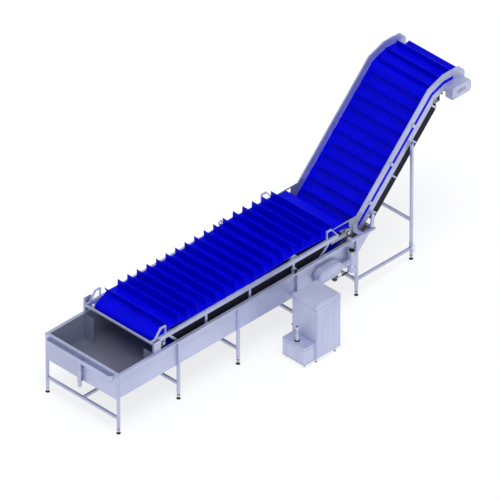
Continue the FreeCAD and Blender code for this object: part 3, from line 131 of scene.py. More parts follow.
class Finish:
    """A material with helpers for its textures."""

    def __init__(self, name, colour, roughness, metallic=0.0, **plain):
        self.material = bpy.data.materials.new(name)
        self.material.use_nodes = True
        self.tree = self.material.node_tree
        self.shader = self.tree.nodes["Principled BSDF"]
        self.material.diffuse_color = (*colour, 1.0)
        self.shader.inputs["Base Color"].default_value = (*colour, 1.0)
        self.shader.inputs["Roughness"].default_value = roughness
        self.shader.inputs["Metallic"].default_value = metallic
        for socket, value in plain.items():
            self.shader.inputs[socket.replace("_", " ")].default_value = value
        self.place = self.node("ShaderNodeTexCoord", out="Object")

    def node(self, kind, settings=None, sockets=None, out=0):
        made = self.tree.nodes.new(kind)
        for name, value in (settings or {}).items():
            setattr(made, name, value)
        for name, value in (sockets or {}).items():
            if isinstance(value, Wire):
                self.tree.links.new(value.socket, made.inputs[name])
            else:
                made.inputs[name].default_value = value
        return Wire(self, made.outputs[out])

    def scaled(self, x, y, z):
        """Object position with each axis multiplied, for marks longer one way than another."""
        return self.node("ShaderNodeVectorMath", {"operation": "MULTIPLY"}, {0: self.place, 1: (x, y, z)})

    def noise(self, scale, detail=2.0, place=None, roughness=0.5):
        return self.node("ShaderNodeTexNoise", {}, {"Vector": place or self.place, "Scale": scale,
                                                    "Detail": detail, "Roughness": roughness})

    def axis(self, which):
        return self.node("ShaderNodeSeparateXYZ", {}, {0: self.place}, out=which)

    def clamp(self, wire):
        return self.node("ShaderNodeClamp", {}, {0: wire})

    def rise(self, wire, low, high):
        """0 below low, 1 above high, smooth between."""
        return self.node("ShaderNodeMapRange", {"interpolation_type": "SMOOTHSTEP"},
                         {"Value": wire, "From Min": low, "From Max": high})

    def mix(self, share, first, second):
        """Colour between two colours. A share of 0 gives the first."""
        def rgba(value):
            return value if isinstance(value, Wire) else (*value, 1.0)
        return self.node("ShaderNodeMix", {"data_type": "RGBA"},
                         {0: share, 6: rgba(first), 7: rgba(second)}, out=2)

    def bump(self, height, strength, distance):
        normal = self.node("ShaderNodeBump", {}, {"Height": height, "Strength": strength, "Distance": distance})
        self.feed("Normal", normal)

    def feed(self, socket, wire):
        self.tree.links.new(wire.socket, self.shader.inputs[socket])


print("shader helpers ready")

# %% [markdown]
# Ground stainless tube and sheet isn't a mirror: the belt that polished it left fine lines along its
# length, and the lines spread a highlight across the grain. Noise stretched along one axis gives
# those lines. It changes roughness and a shallow bump, so flat sheet still looks flat. Slow cloudy
# noise adds the handling marks, which dull the metal in soft patches.

# %% Ground stainless
STEEL = (0.50, 0.535, 0.735)
STEEL_DULL = (0.40, 0.43, 0.60)


def ground_steel(name, grain, colour=STEEL, dull=STEEL_DULL, roughness=0.40, metallic=0.55):
    """Satin stainless. grain is the axis that the lines run along."""
    steel = Finish(name, colour, roughness, metallic)
    stretch = [900.0, 900.0, 900.0]
    stretch["xyz".index(grain)] = 14.0
    lines = steel.noise(1.0, 3.0, steel.scaled(*stretch), 0.65)
    clouds = steel.noise(2.3, 4.0, None, 0.6)
    smears = steel.noise(1.0, 3.0, steel.scaled(*[value / 40 for value in stretch]))
    tone = steel.rise(clouds * 0.7 + smears * 0.3, 0.34, 0.66)
    steel.feed("Base Color", steel.mix(tone, dull, colour))
    steel.feed("Roughness", steel.clamp(lines * 0.22 + clouds * 0.16 + (roughness - 0.19)))
    steel.bump(lines, 0.10, 0.0004)
    return steel


steel_x = ground_steel("ground_steel_along_x", "x")
steel_y = ground_steel("ground_steel_along_y", "y")
steel_z = ground_steel("ground_steel_along_z", "z")
print("steel in three grain directions")

# %% [markdown]
# The tank sheets are cold-rolled and never ground, so they have no lines. What shows on them is
# water: pale runs of dried scale hang from the rim, and a dull band marks the usual water level.
# A noise squeezed in x and y and long in z makes the runs, and height above the floor makes the band.
# Faces inside the tank walls are also pulled towards a dark copy of the colour as painted shade.

# %% Tank sheet with water marks and painted inside shade
def tank_sheet(name, colour, runs_from, water_line, dirt, inside_shade):
    """Rolled stainless. runs_from is the height that the runs hang from, water_line the mid level, inside_shade
    the share of painted shade on faces inside the tank.
    """
    sheet = Finish(name, colour, 0.42, 0.5)
    height = sheet.axis(2)
    clouds = sheet.noise(1.7, 4.0, None, 0.6)
    mottle = sheet.noise(38.0, 3.0, None, 0.7)
    streaks = sheet.noise(1.0, 4.0, sheet.scaled(34.0, 34.0, 1.1), 0.65)
    hang = sheet.rise(height, runs_from - 0.26, runs_from)
    runs = sheet.rise(streaks, 0.54, 0.70) * hang
    edge = height + (clouds - 0.5) * 0.05
    film = (sheet.rise(edge, water_line - 0.10, water_line)
            * (1 - sheet.rise(edge, water_line, water_line + 0.012)))
    darker = tuple(value * dirt for value in colour)
    paler = tuple(min(1.0, value * 1.14 + 0.02) for value in colour)
    base = sheet.mix(sheet.rise(clouds * 0.75 + mottle * 0.25, 0.36, 0.62), darker, colour)
    base = sheet.mix(sheet.clamp(runs * 0.35), base, paler)
    base = sheet.mix(sheet.clamp(film * 0.30), base, darker)
    # Painted shade: faces inside the tank walls are pulled towards a dark copy of the sheet colour, by the share
    # inside_shade.
    side = sheet.node("ShaderNodeMath", {"operation": "ABSOLUTE"}, {0: sheet.axis(0) - ORIGIN_X * MM})
    ahead = sheet.axis(1) > (wall_low.y + 0.0012)
    within = (side < (wall_high.x - ORIGIN_X * MM - 0.0008)) * ahead
    base = sheet.mix(sheet.clamp(within * inside_shade), base, tuple(value * 0.30 for value in colour))
    sheet.feed("Base Color", base)
    sheet.feed("Roughness", sheet.clamp(0.33 + mottle * 0.10 + clouds * 0.08 + runs * 0.16 + film * 0.12))
    sheet.bump(clouds * 0.7 + mottle * 0.3, 0.08, 0.002)
    return sheet


outer_sheet = tank_sheet("tank_sheet", (0.50, 0.535, 0.735), 0.80, 0.70, 0.86, 0.55)
# The tank floor sheet is a darker copy of the wall sheet: painted shade for the floor deep inside the tank.
floor_sheet = tank_sheet("tank_floor_sheet", (0.34, 0.355, 0.46), 0.80, 0.62, 0.80, 0.35)
print("tank sheets ready")

# %% [markdown]
# Cabinet panels are fine-ground after folding; their grain runs upright.

# %% Cabinet panels
panel = ground_steel("cabinet_panel", "z", (0.52, 0.555, 0.75), (0.45, 0.48, 0.66), 0.44, 0.5)
turned = ground_steel("turned_steel", "x", (0.56, 0.57, 0.66), (0.42, 0.43, 0.50), 0.30, 0.85)
print("panel and turned steel ready")

# %% [markdown]
# The belt is moulded from a strong blue plastic with a fine eggshell grain. Produce leaves dull,
# pale scuffs along the direction of travel. Flights share the plastic and its scuffs, in a darker copy.

# %% Blue belt plastic
def belt_plastic(name, colour, deep, roughness):
    blue = Finish(name, colour, roughness, 0.0, Specular_IOR_Level=0.06)
    clouds = blue.noise(5.0, 3.0)
    scuffs = blue.noise(1.0, 3.0, blue.scaled(170.0, 9.0, 9.0), 0.7)
    grain = blue.noise(900.0, 2.0)
    marks = blue.rise(scuffs, 0.56, 0.74)
    base = blue.mix(blue.rise(clouds, 0.3, 0.7), deep, colour)
    pale = tuple(min(1.0, value * 1.05 + 0.006) for value in colour)
    blue.feed("Base Color", blue.mix(blue.clamp(marks * 0.5), base, pale))
    blue.feed("Roughness", blue.clamp(roughness - 0.06 + clouds * 0.10 + marks * 0.14))
    blue.bump(grain * 0.4 + scuffs * 0.6, 0.12, 0.0006)
    return blue


belt_blue = belt_plastic("belt_blue", (0.0, 0.0005, 0.74), (0.0, 0.0005, 0.64), 0.40)
# The flights use a darker copy of the belt plastic: painted shade for their faces, which stand in each other's
# shade.
flight_blue = belt_plastic("flight_blue", (0.0, 0.0005, 0.62), (0.0, 0.0003, 0.52), 0.38)
print("belt plastics ready")

# %% [markdown]
# Smaller parts: natural plastic for sprockets and rollers, a dark tray lining, black rubber with
# moulding speckle, dark cast valve metal and grey machine paint with a slight orange-peel skin.

# %% Plastic, rubber and paint
def speckled(name, colour, roughness, grain, depth, metallic=0.0, vary=0.12, **plain):
    """An even moulded or cast finish: colour clouds, a grain of that scale, and a shallow bump."""
    made = Finish(name, colour, roughness, metallic, **plain)
    clouds = made.noise(7.0, 3.0)
    fine = made.noise(grain, 3.0, None, 0.6)
    darker = tuple(value * (1 - vary) for value in colour)
    lighter = tuple(min(1.0, value * (1 + vary)) for value in colour)
    made.feed("Base Color", made.mix(clouds * 0.6 + fine * 0.4, darker, lighter))
    made.feed("Roughness", made.clamp(roughness - 0.07 + fine * 0.10 + clouds * 0.05))
    made.bump(fine, 0.25, depth)
    return made


white_plastic = speckled("natural_plastic", (0.72, 0.72, 0.70), 0.42, 300.0, 0.0003)
tray_plastic = speckled("tray_lining", (0.010, 0.010, 0.022), 0.60, 120.0, 0.0006, vary=0.4,
                        Specular_IOR_Level=0.12)
rubber = speckled("black_rubber", (0.005, 0.005, 0.006), 0.70, 500.0, 0.0004, vary=0.35,
                  Specular_IOR_Level=0.10)
housing = speckled("bearing_housing", (0.30, 0.31, 0.36), 0.42, 260.0, 0.0004)
probe_grey = speckled("probe_plastic", (0.47, 0.49, 0.60), 0.38, 320.0, 0.0002, vary=0.06)
valve_metal = speckled("cast_valve", (0.12, 0.105, 0.09), 0.46, 420.0, 0.0008, 0.5, 0.3)
grip_rubber = speckled("lever_grip", (0.045, 0.04, 0.035), 0.55, 380.0, 0.0005, vary=0.25)
paint = speckled("machine_paint", (0.13, 0.15, 0.19), 0.36, 200.0, 0.0004, vary=0.08, Coat_Weight=0.25)
# This near-black finish serves real seals, gaskets and joints, and also paints the shade in the vent and louvre
# slots.
seal_and_slot_shade = speckled("door_seal", (0.014, 0.014, 0.020), 0.62, 350.0, 0.0005, vary=0.3,
                Specular_IOR_Level=0.15)
weld_steel = speckled("weld_bead", (0.46, 0.47, 0.56), 0.34, 700.0, 0.0006, 0.8, 0.22)
print("plastics, rubber, castings and paint ready")

# %% [markdown]
# Every CAD node keeps its mesh and gets a finish by name. Grain follows the long axis of each part.

# %% Finishes for the CAD nodes
DRESS = {
    "tank_floor": floor_sheet, "tank_side_walls": outer_sheet, "tank_front_wall": outer_sheet,
    "tank_baffles": outer_sheet, "tank_rims": steel_y, "overflow_gutter": steel_x, "gutter_downpipe": steel_z,
    "leg_tubes": steel_z, "leg_cross_tubes": steel_x, "elevator_legs": steel_z, "elevator_leg_braces": steel_y,
    "foot_plugs": turned, "foot_spindles": turned, "foot_pads": rubber,
    "immersion_rails": steel_y, "immersion_lower_frame": steel_y, "cross_bars": steel_x,
    "belt_shoes": tray_plastic,
    "immersion_bearings": housing, "rim_posts": steel_z, "frame_bolts": turned, "lifting_hoops": steel_z,
    "immersion_belt": belt_blue, "immersion_flights": flight_blue, "immersion_drive_shaft": turned,
    "immersion_drive_sprockets": white_plastic, "immersion_idler_shaft": turned,
    "immersion_idler_sprockets": white_plastic, "support_roller": turned,
    "elevator_upper_rails": steel_y, "elevator_lower_rails": steel_y, "elevator_lower_plates": outer_sheet,
    "elevator_end_plates": steel_y, "rail_blocks": steel_y, "elevator_wear_strips": belt_blue,
    "return_tray": tray_plastic, "tray_straps": steel_x, "elevator_belt": belt_blue,
    "elevator_flights": flight_blue,
    "elevator_drive_shaft": turned, "elevator_drive_sprockets": white_plastic, "elevator_tail_shaft": turned,
    "elevator_tail_rollers": white_plastic, "hold_down_discs": white_plastic,
    "return_bend_discs": white_plastic,
    "elevator_bearings": housing, "gearmotor": paint, "motor_cover": panel, "elevator_supports": steel_z,
    "suction_duct": outer_sheet, "pump_column": steel_z, "drain_valve": valve_metal, "valve_lever": grip_rubber,
    "cabinet_body": panel, "cabinet_lid": panel, "cabinet_feet": turned, "pump_unit": paint,
    "transfer_pipe": steel_x, "dosing_box": panel, "level_probe": probe_grey,
}
for name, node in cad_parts.items():
    slots = node.data.materials
    slots.clear()
    slots.append(DRESS[name].material)
print("dressed", len(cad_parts), "CAD nodes")

# %% [markdown]
# New pieces are built point by point. A Shape collects points and faces and can add a turned
# profile, a profile pulled along x, or a bead of weld. When it is made into an object it gets its
# finish, the body that it rides on, and the CAD nodes that it stands for.

# %% Shape builder
class Shape:
    """Points and faces of one piece, in frame metres."""

    def __init__(self):
        self.points, self.faces, self.smooth = [], [], []

    def add(self, points, faces, smooth=False):
        start = len(self.points)
        self.points += [tuple(p) for p in points]
        self.faces += [tuple(start + i for i in face) for face in faces]
        self.smooth += [smooth] * len(faces)

    def pull(self, outline, low, high):
        """A closed (y, z) outline pulled along x from low to high."""
        count = len(outline)
        points = [(x, y, z) for x in (low, high) for y, z in outline]
        faces = [(i, (i + 1) % count, count + (i + 1) % count, count + i) for i in range(count)]
        self.add(points, faces + [tuple(range(count))[::-1], tuple(range(count, 2 * count))])

    def turn(self, foot, axis, profile, sides=24, smooth=True, swell=None):
        """A (radius, distance) profile turned about an axis. swell(angle) scales the radius."""
        axis = Vector(axis).normalized()
        across = axis.orthogonal().normalized()
        beside = axis.cross(across)
        points, faces = [], []
        for radius, along in profile:
            for k in range(sides):
                angle = 2 * math.pi * k / sides
                reach = radius * (swell(angle) if swell else 1.0)
                spoke = across * math.cos(angle) + beside * math.sin(angle)
                points.append(foot + axis * along + spoke * reach)
        for ring in range(len(profile) - 1):
            for k in range(sides):
                a, b = ring * sides + k, ring * sides + (k + 1) % sides
                faces.append((a, b, b + sides, a + sides))
        last = (len(profile) - 1) * sides
        self.add(points, faces, smooth)
        self.add(points[:sides], [tuple(range(sides))[::-1]])
        self.add(points[last:], [tuple(range(sides))])

    def tube(self, path, radius, sides=8, closed=False, ripple=0.0):
        """A round bead along a path. ripple makes it swell and shrink as stacked weld drops do."""
        count = len(path)
        rings = []
        for i, place in enumerate(path):
            before = path[(i - 1) % count] if closed or i else place
            after = path[(i + 1) % count] if closed or i < count - 1 else place
            axis = (after - before).normalized()
            side = axis.cross(Vector((0.31, 0.52, 0.80))).normalized()
            top = axis.cross(side)
            reach = radius * (1 + ripple * (0.5 if i % 2 else -0.5))
            angles = [2 * math.pi * k / sides for k in range(sides)]
            rings.append([place + (side * math.cos(angle) + top * math.sin(angle)) * reach for angle in angles])
        points = [p for ring in rings for p in ring]
        faces = []
        for i in range(count if closed else count - 1):
            a, b = i * sides, (i + 1) % count * sides
            faces += [(a + k, a + (k + 1) % sides, b + (k + 1) % sides, b + k) for k in range(sides)]
        self.add(points, faces, True)

    def make(self, name, finish, body, stands_for=(), slot=None):
        mesh = bpy.data.meshes.new(name)
        mesh.from_pydata(self.points, [], self.faces)
        mesh.polygons.foreach_set("use_smooth", self.smooth)
        mesh.materials.append(finish.material)
        mesh.update()
        made = bpy.data.objects.new(name, mesh)
        bpy.context.scene.collection.objects.link(made)
        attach(made, body)
        if stands_for:
            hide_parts(*stands_for)
        print(name, len(self.faces), "faces")
        return made


def solids(node):
    """The separate solids of a CAD node, each as the list of its corner points."""
    mesh = bmesh.new()
    mesh.from_mesh(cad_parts[node].data)
    bmesh.ops.remove_doubles(mesh, verts=mesh.verts, dist=0.00001)
    left, found = set(mesh.verts), []
    while left:
        open_ends, member = [left.pop()], []
        while open_ends:
            point = open_ends.pop()
            member.append(point.co.copy())
            for edge in point.link_edges:
                other = edge.other_vert(point)
                if other in left:
                    left.remove(other)
                    open_ends.append(other)
        found.append(member)
    mesh.free()
    return found


def span(points):
    """Lowest and highest corner of some points."""
    low = Vector([min(p[i] for p in points) for i in range(3)])
    return low, Vector([max(p[i] for p in points) for i in range(3)])


print("shape builder ready")

# %% [markdown]
# A modular belt is thousands of small plastic bricks hinged on rods, and it shows as fine rows with
# a comb line between them. The belt's route is the tangent lines and arcs round its wheels, so rows
# one pitch apart can be set along it. Each row is cut into fingers, and every second finger is
# pushed forward to mesh with the next row.

# %% Route of a belt round its wheels
IMMERSION_WHEELS = [(745.0, 850.0, 60.0), (890.0, 926.0, 60.0), (1280.0, 963.8, 0.0), (1670.0, 954.4, 0.0),
                    (2060.0, 957.8, 0.0), (2450.0, 974.0, 0.0), (2840.0, 931.0, 72.0), (3510.0, 912.0, 60.0),
                    (3690.0, 895.0, 62.0), (3100.0, 710.0, 60.0), (1100.0, 710.0, 60.0)]
ELEVATOR_WHEELS = [(3370.0, 595.0, 45.0), (3643.14, 720.0, -80.0), (5121.59, 2020.65, 80.0),
                   (5292.89, 2083.0, 80.0), (5465.0, 2078.0, 85.0), (5145.04, 1958.57, -60.0),
                   (3675.93, 610.0, 60.0)]


def belt_route(wheels, pitch):
    """Places (y, z) and headings one pitch apart on the outer face of a belt, in drawing mm."""
    runs = []
    for (ay, az, ar), (by, bz, br) in zip(wheels, wheels[1:] + wheels[:1]):
        angle = math.atan2(bz - az, by - ay) + math.asin((br - ar) / math.dist((ay, az), (by, bz)))
        side = (math.sin(angle), -math.cos(angle))
        runs.append(((ay - side[0] * ar, az - side[1] * ar), (by - side[0] * br, bz - side[1] * br), angle))
    parts = []
    for index, (start, end, angle) in enumerate(runs):
        wheel = wheels[(index + 1) % len(wheels)]
        turn = angle - runs[(index + 1) % len(runs)][2]
        turn = turn % (2 * math.pi) if wheel[2] > 0 else -((-turn) % (2 * math.pi))
        parts.append((math.dist(start, end), start, angle, 0.0))
        parts.append((abs(wheel[2] * turn), wheel, angle, turn))
    total = sum(part[0] for part in parts)
    count = round(total / pitch)
    places = []
    for k in range(count):
        travel = k * total / count
        for length, place, angle, turn in parts:
            if travel > length:
                travel -= length
                continue
            if len(place) == 2:
                y, z = place[0] + math.cos(angle) * travel, place[1] + math.sin(angle) * travel
                places.append(((y, z), angle))
            else:
                bent = angle - turn * travel / length
                y, z = place[0] - math.sin(bent) * place[2], place[1] + math.cos(bent) * place[2]
                places.append(((y, z), bent))
            break
    return places, total / count


immersion_rows, row_pitch = belt_route(IMMERSION_WHEELS, 25.4)
elevator_rows, _ = belt_route(ELEVATOR_WHEELS, 25.4)
print(len(immersion_rows), "and", len(elevator_rows), "rows,", round(row_pitch, 2), "mm apart")


# %% Belt modules
def belt_modules(name, rows, half_width, fingers, node):
    """All rows of one belt. half_width is in drawing mm."""
    belt = Shape()
    half, top, bottom = 12.45, -0.2, -11.6
    width = 2 * half_width / fingers
    for (y, z), angle in rows:
        along, up = (math.cos(angle), math.sin(angle)), (-math.sin(angle), math.cos(angle))
        for finger in range(fingers):
            push = 2.2 if finger % 2 else -2.2
            outline = [(-half, bottom + 2.5), (-half, top - 1.6), (-half + 1.8, top), (half - 1.8, top),
                       (half, top - 1.6), (half, bottom + 2.5), (half - 3.5, bottom), (-half + 3.5, bottom)]
            section = [((y + along[0] * (s + push) + up[0] * n + ORIGIN_Y) * MM,
                        (z + along[1] * (s + push) + up[1] * n) * MM) for s, n in outline]
            left = -half_width + finger * width
            belt.pull(section[::-1], (left + 0.12 + ORIGIN_X) * MM, (left + width - 0.12 + ORIGIN_X) * MM)
    return belt.make(name, belt_blue, "frame", [node], "blue_belt")


belt_modules("immersion_belt_modules", immersion_rows, 500.0, 20, "immersion_belt")
belt_modules("elevator_belt_modules", elevator_rows, 450.0, 18, "elevator_belt")

# %% [markdown]
# A flight is a moulded wall that stands on one row. It is thick at the foot, where a fillet spreads
# the load, thins towards a rounded tip, and has low ribs on its back so that wet leaves let go. Its
# place comes from the CAD solid: the two corners that are far apart are the foot, the close pair is
# the tip.

# %% Flights
def flight_profile(height):
    """(along, up) outline of a flight in mm, foot at 0."""
    return [(-9.0, 0.2), (-5.5, 2.4), (-4.2, 7.0), (-2.3, height - 3.0), (-1.2, height - 0.5),
            (1.2, height - 0.5), (2.3, height - 3.0), (4.2, height * 0.06 + 7.0), (5.5, 2.4), (9.0, 0.2)]


def moulded_flights(name, node, ribs):
    walls = Shape()
    for corners in solids(node):
        low, high = span(corners)
        ring = sorted({(round(c.y, 6), round(c.z, 6)) for c in corners})
        pairs = [(math.dist(a, b), a, b) for i, a in enumerate(ring) for b in ring[i + 1:]]
        pairs.sort()
        (_, t1, t2), (_, f1, f2) = pairs[0], pairs[1]
        foot, tip = [(f1[i] + f2[i]) / 2 for i in (0, 1)], [(t1[i] + t2[i]) / 2 for i in (0, 1)]
        height = math.dist(foot, tip)
        up = [(tip[i] - foot[i]) / height for i in (0, 1)]
        along = (up[1], -up[0])

        def place(s, n):
            return (foot[0] + along[0] * s * MM + up[0] * n * MM, foot[1] + along[1] * s * MM + up[1] * n * MM)

        walls.pull([place(s, n) for s, n in flight_profile(height / MM)], low.x, high.x)
        tall = height / MM
        for rib in range(ribs):
            middle = low.x + (high.x - low.x) * (rib + 0.5) / ribs
            outline = [place(s, n) for s, n in ((3.4, 6.0), (6.4, 7.0), (4.6, tall - 14.0), (2.4, tall - 9.0))]
            walls.pull(outline, middle - 0.003, middle + 0.003)
    return walls.make(name, flight_blue, "frame", [node], "blue_flight")


moulded_flights("immersion_flight_walls", "immersion_flights", 13)
moulded_flights("elevator_flight_walls", "elevator_flights", 11)

# %% [markdown]
# Screws, nuts and feet are what make sheet metal look built. Each CAD bolt is found as one solid of
# the bolt node, its thin direction is its axis, and a washer, a chamfered head and a domed centre
# take its place. The wide, thick ones are clamp knobs, which get six lobes to grip.

# %% Bolts and knobs
def outward(low, high):
    """Axis and outer end of a flat solid: sideways ones face away from the middle of the machine."""
    size = high - low
    axis = min(range(3), key=lambda i: size[i])
    sign = 1.0
    if axis == 0 and (low.x + high.x) / 2 < ORIGIN_X * MM:
        sign = -1.0
    if axis == 1:
        sign = -1.0
    direction = Vector([sign if i == axis else 0.0 for i in range(3)])
    return direction, size[axis], max(size[i] for i in range(3) if i != axis) / 2


def lobes(angle):
    return 1.0 - 0.10 * (0.5 + 0.5 * math.cos(6 * angle))


bolts, knobs = Shape(), Shape()
for corners in solids("frame_bolts"):
    low, high = span(corners)
    direction, thick, radius = outward(low, high)
    foot = (low + high) / 2 - direction * thick / 2
    if radius > 0.02:
        knobs.turn(foot, direction, [(radius * 0.55, 0), (radius * 0.6, thick * 0.25),
                                     (radius * 0.97, thick * 0.35), (radius, thick * 0.6),
                                     (radius * 0.92, thick * 0.92), (radius * 0.5, thick)], 36, True, lobes)
        continue
    washer, head = thick * 0.25, thick * 0.97
    bolts.turn(foot, direction, [(radius, 0), (radius, washer * 0.8), (radius * 0.94, washer)], 20)
    bolts.turn(foot, direction, [(radius * 0.86, washer), (radius * 0.86, head * 0.86), (radius * 0.74, head)],
               6, False)
    bolts.turn(foot, direction, [(radius * 0.5, head), (radius * 0.4, thick)], 16)
bolts.make("frame_screws", turned, "frame", ["frame_bolts"], "turned_steel")
if knobs.points:
    knobs.make("clamp_knobs", tray_plastic, "frame", [], "charcoal_plastic")

# %% [markdown]
# A levelling foot is a rubber pad moulded round a steel cup, a threaded spindle, and a lock nut under
# the leg's end plug. The thread is a saw-tooth profile turned about the spindle, coarse enough to
# read from a distance.

# %% Levelling feet
pads, cups, threads = Shape(), Shape(), Shape()
UP = (0, 0, 1)
for corners in solids("foot_pads"):
    low, high = span(corners)
    foot = Vector(((low.x + high.x) / 2, (low.y + high.y) / 2, low.z))
    radius, tall = (high.x - low.x) / 2, high.z - low.z
    pads.turn(foot, UP, [(radius * 0.90, 0), (radius * 0.99, tall * 0.12), (radius, tall * 0.25),
                         (radius * 0.97, tall * 0.38), (radius, tall * 0.46), (radius * 0.93, tall * 0.60),
                         (radius * 0.60, tall * 0.70), (radius * 0.5, tall * 0.72)], 32)
    cups.turn(foot, UP, [(radius * 0.52, tall * 0.66), (radius * 0.50, tall * 0.84), (radius * 0.40, tall)], 24)
for corners in solids("foot_spindles"):
    low, high = span(corners)
    foot = Vector(((low.x + high.x) / 2, (low.y + high.y) / 2, low.z))
    radius, tall = (high.x - low.x) / 2, high.z - low.z
    turns = max(3, int(tall / 0.003))
    profile = []
    for k in range(turns):
        profile += [(radius * 0.84, tall * k / turns), (radius, tall * (k + 0.5) / turns)]
    threads.turn(foot, UP, profile + [(radius * 0.84, tall)], 16)
    threads.turn(foot, UP, [(radius * 1.75, tall * 0.97 - 0.009), (radius * 1.85, tall * 0.97 - 0.008),
                            (radius * 1.85, tall * 0.97 - 0.001), (radius * 1.75, tall * 0.97)], 6, False)
pads.make("foot_rubber", rubber, "frame", ["foot_pads"], "black_rubber")
cups.make("foot_cups", rubber, "frame", [], "black_rubber")
threads.make("foot_threads", turned, "frame", ["foot_spindles"], "turned_steel")

# %% [markdown]
# Tubes meet tubes with a hand-laid weld. The bead is a thin tube whose radius swells and shrinks a
# little at each drop, run round the square end of every cross tube and down the tank's corners.

# %% Weld beads
def square_loop(centre, across, beside, half, step=0.0045):
    """Points round a square, closed."""
    corners = [centre + across * a * half + beside * b * half for a, b in ((-1, -1), (1, -1), (1, 1), (-1, 1))]
    path = []
    for start, end in zip(corners, corners[1:] + corners[:1]):
        count = max(2, int((end - start).length / step))
        path += [start + (end - start) * i / count for i in range(count)]
    return path


def line(start, end, step=0.005):
    count = max(2, int((end - start).length / step))
    return [start + (end - start) * i / count for i in range(count + 1)]


welds = Shape()
AXES = (Vector((1, 0, 0)), Vector((0, 1, 0)), Vector((0, 0, 1)))
joined = 0
for node in ("leg_cross_tubes", "elevator_leg_braces"):
    for corners in solids(node):
        low, high = span(corners)
        size = high - low
        long = max(range(3), key=lambda i: size[i])
        a, b = [i for i in range(3) if i != long]
        if abs(size[a] - size[b]) > 0.004 or size[long] < 0.2:
            continue
        for end in (low[long] + 0.001, high[long] - 0.001):
            centre = (low + high) / 2
            centre[long] = end
            welds.tube(square_loop(centre, AXES[a], AXES[b], size[a] / 2), 0.0024, 6, True, 0.35)
            joined += 1
for x in (wall_low.x + 0.0005, wall_high.x - 0.0005):
    corner = wall_low.y + 0.001
    welds.tube(line(Vector((x, corner, tank_low.z + 0.002)), Vector((x, corner, wall_high.z - 0.002))),
               0.0020, 6, False, 0.3)
welds.make("weld_beads", weld_steel, "frame", [], "stainless_sheet")
print(joined, "tube ends welded")

# %% [markdown]
# Bearing blocks are moulded housings. A raised ring, a dark lip seal round the shaft and two small
# screws on each outer face turn a plain block into a bearing.

# %% Bearing faces
rings, seals, caps = Shape(), Shape(), Shape()
for node in ("immersion_bearings", "elevator_bearings"):
    for corners in solids(node):
        low, high = span(corners)
        side = 1.0 if (low.x + high.x) / 2 > ORIGIN_X * MM else -1.0
        face = high.x if side > 0 else low.x
        reach = min(high.y - low.y, high.z - low.z) / 2
        bore = [c for c in corners
                if low.y + 0.002 < c.y < high.y - 0.002 and low.z + 0.002 < c.z < high.z - 0.002]
        if len(bore) < 8:
            continue
        hole_low, hole_high = span(bore)
        centre = Vector((face, (hole_low.y + hole_high.y) / 2, (hole_low.z + hole_high.z) / 2))
        shaft = (hole_high.z - hole_low.z) / 2
        out = Vector((side, 0, 0))
        sunk = centre - out * 0.001
        seals.turn(sunk, out, [(shaft * 1.55, 0), (shaft * 1.5, 0.0030), (shaft * 1.08, 0.0034)], 28)
        rings.turn(sunk, out, [(shaft * 1.85, 0), (shaft * 1.8, 0.0022), (shaft * 1.56, 0.0026)], 28)
        for y in (-1, 1):
            spot = centre + Vector((-side * 0.001, y * min(reach * 0.74, shaft * 2.3), 0))
            caps.turn(spot, out, [(0.0045, 0), (0.0045, 0.0025), (0.0030, 0.0040)], 12)
rings.make("bearing_rings", housing, "frame", [], "bearing_housing")
seals.make("bearing_seals", seal_and_slot_shade, "frame", [], "black_rubber")
caps.make("bearing_screws", turned, "frame", [], "turned_steel")

# %% [markdown]
# Sheet-metal boxes read as built when their joints show: a lid that overlaps the body, a dark gap
# under it, folded seams with spot welds, and screws near the corners. Each of these stands a
# millimetre or so proud of the CAD sheet, so the sheet itself stays as it is.

# %% Cabinet lid, seams and screws
def block(shape, low, high):
    """An upright box between two corners."""
    (x0, y0, z0), (x1, y1, z1) = low, high
    points = [(x, y, z) for x in (x0, x1) for y in (y0, y1) for z in (z0, z1)]
    shape.add(points, [(0, 1, 3, 2), (4, 6, 7, 5), (0, 4, 5, 1), (2, 3, 7, 6), (0, 2, 6, 4), (1, 5, 7, 3)])


def screw(shape, foot, direction, radius, tall):
    """A round washer under a six-sided head."""
    shape.turn(foot, direction, [(radius * 1.35, 0), (radius * 1.30, tall * 0.25)], 20)
    shape.turn(foot, direction, [(radius, tall * 0.25), (radius, tall * 0.85), (radius * 0.85, tall)], 6, False)


def band(shape, low, high, bottom, top, proud):
    """A thin strip round the four upright faces of a box, mitred at its corners."""
    corners = [(low.x, low.y), (high.x, low.y), (high.x, high.y), (low.x, high.y)]
    signs = [(-1, -1), (1, -1), (1, 1), (-1, 1)]
    outer = [(x + sx * proud, y + sy * proud) for (x, y), (sx, sy) in zip(corners, signs)]
    points = [(x, y, z) for z in (bottom, top) for ring in (corners, outer) for x, y in ring]
    faces = []
    for k in range(4):
        n = (k + 1) % 4
        faces += [(4 + k, 4 + n, 12 + n, 12 + k), (k, 8 + k, 8 + n, n),
                  (k, n, 4 + n, 4 + k), (8 + k, 12 + k, 12 + n, 8 + n)]
    shape.add(points, faces)


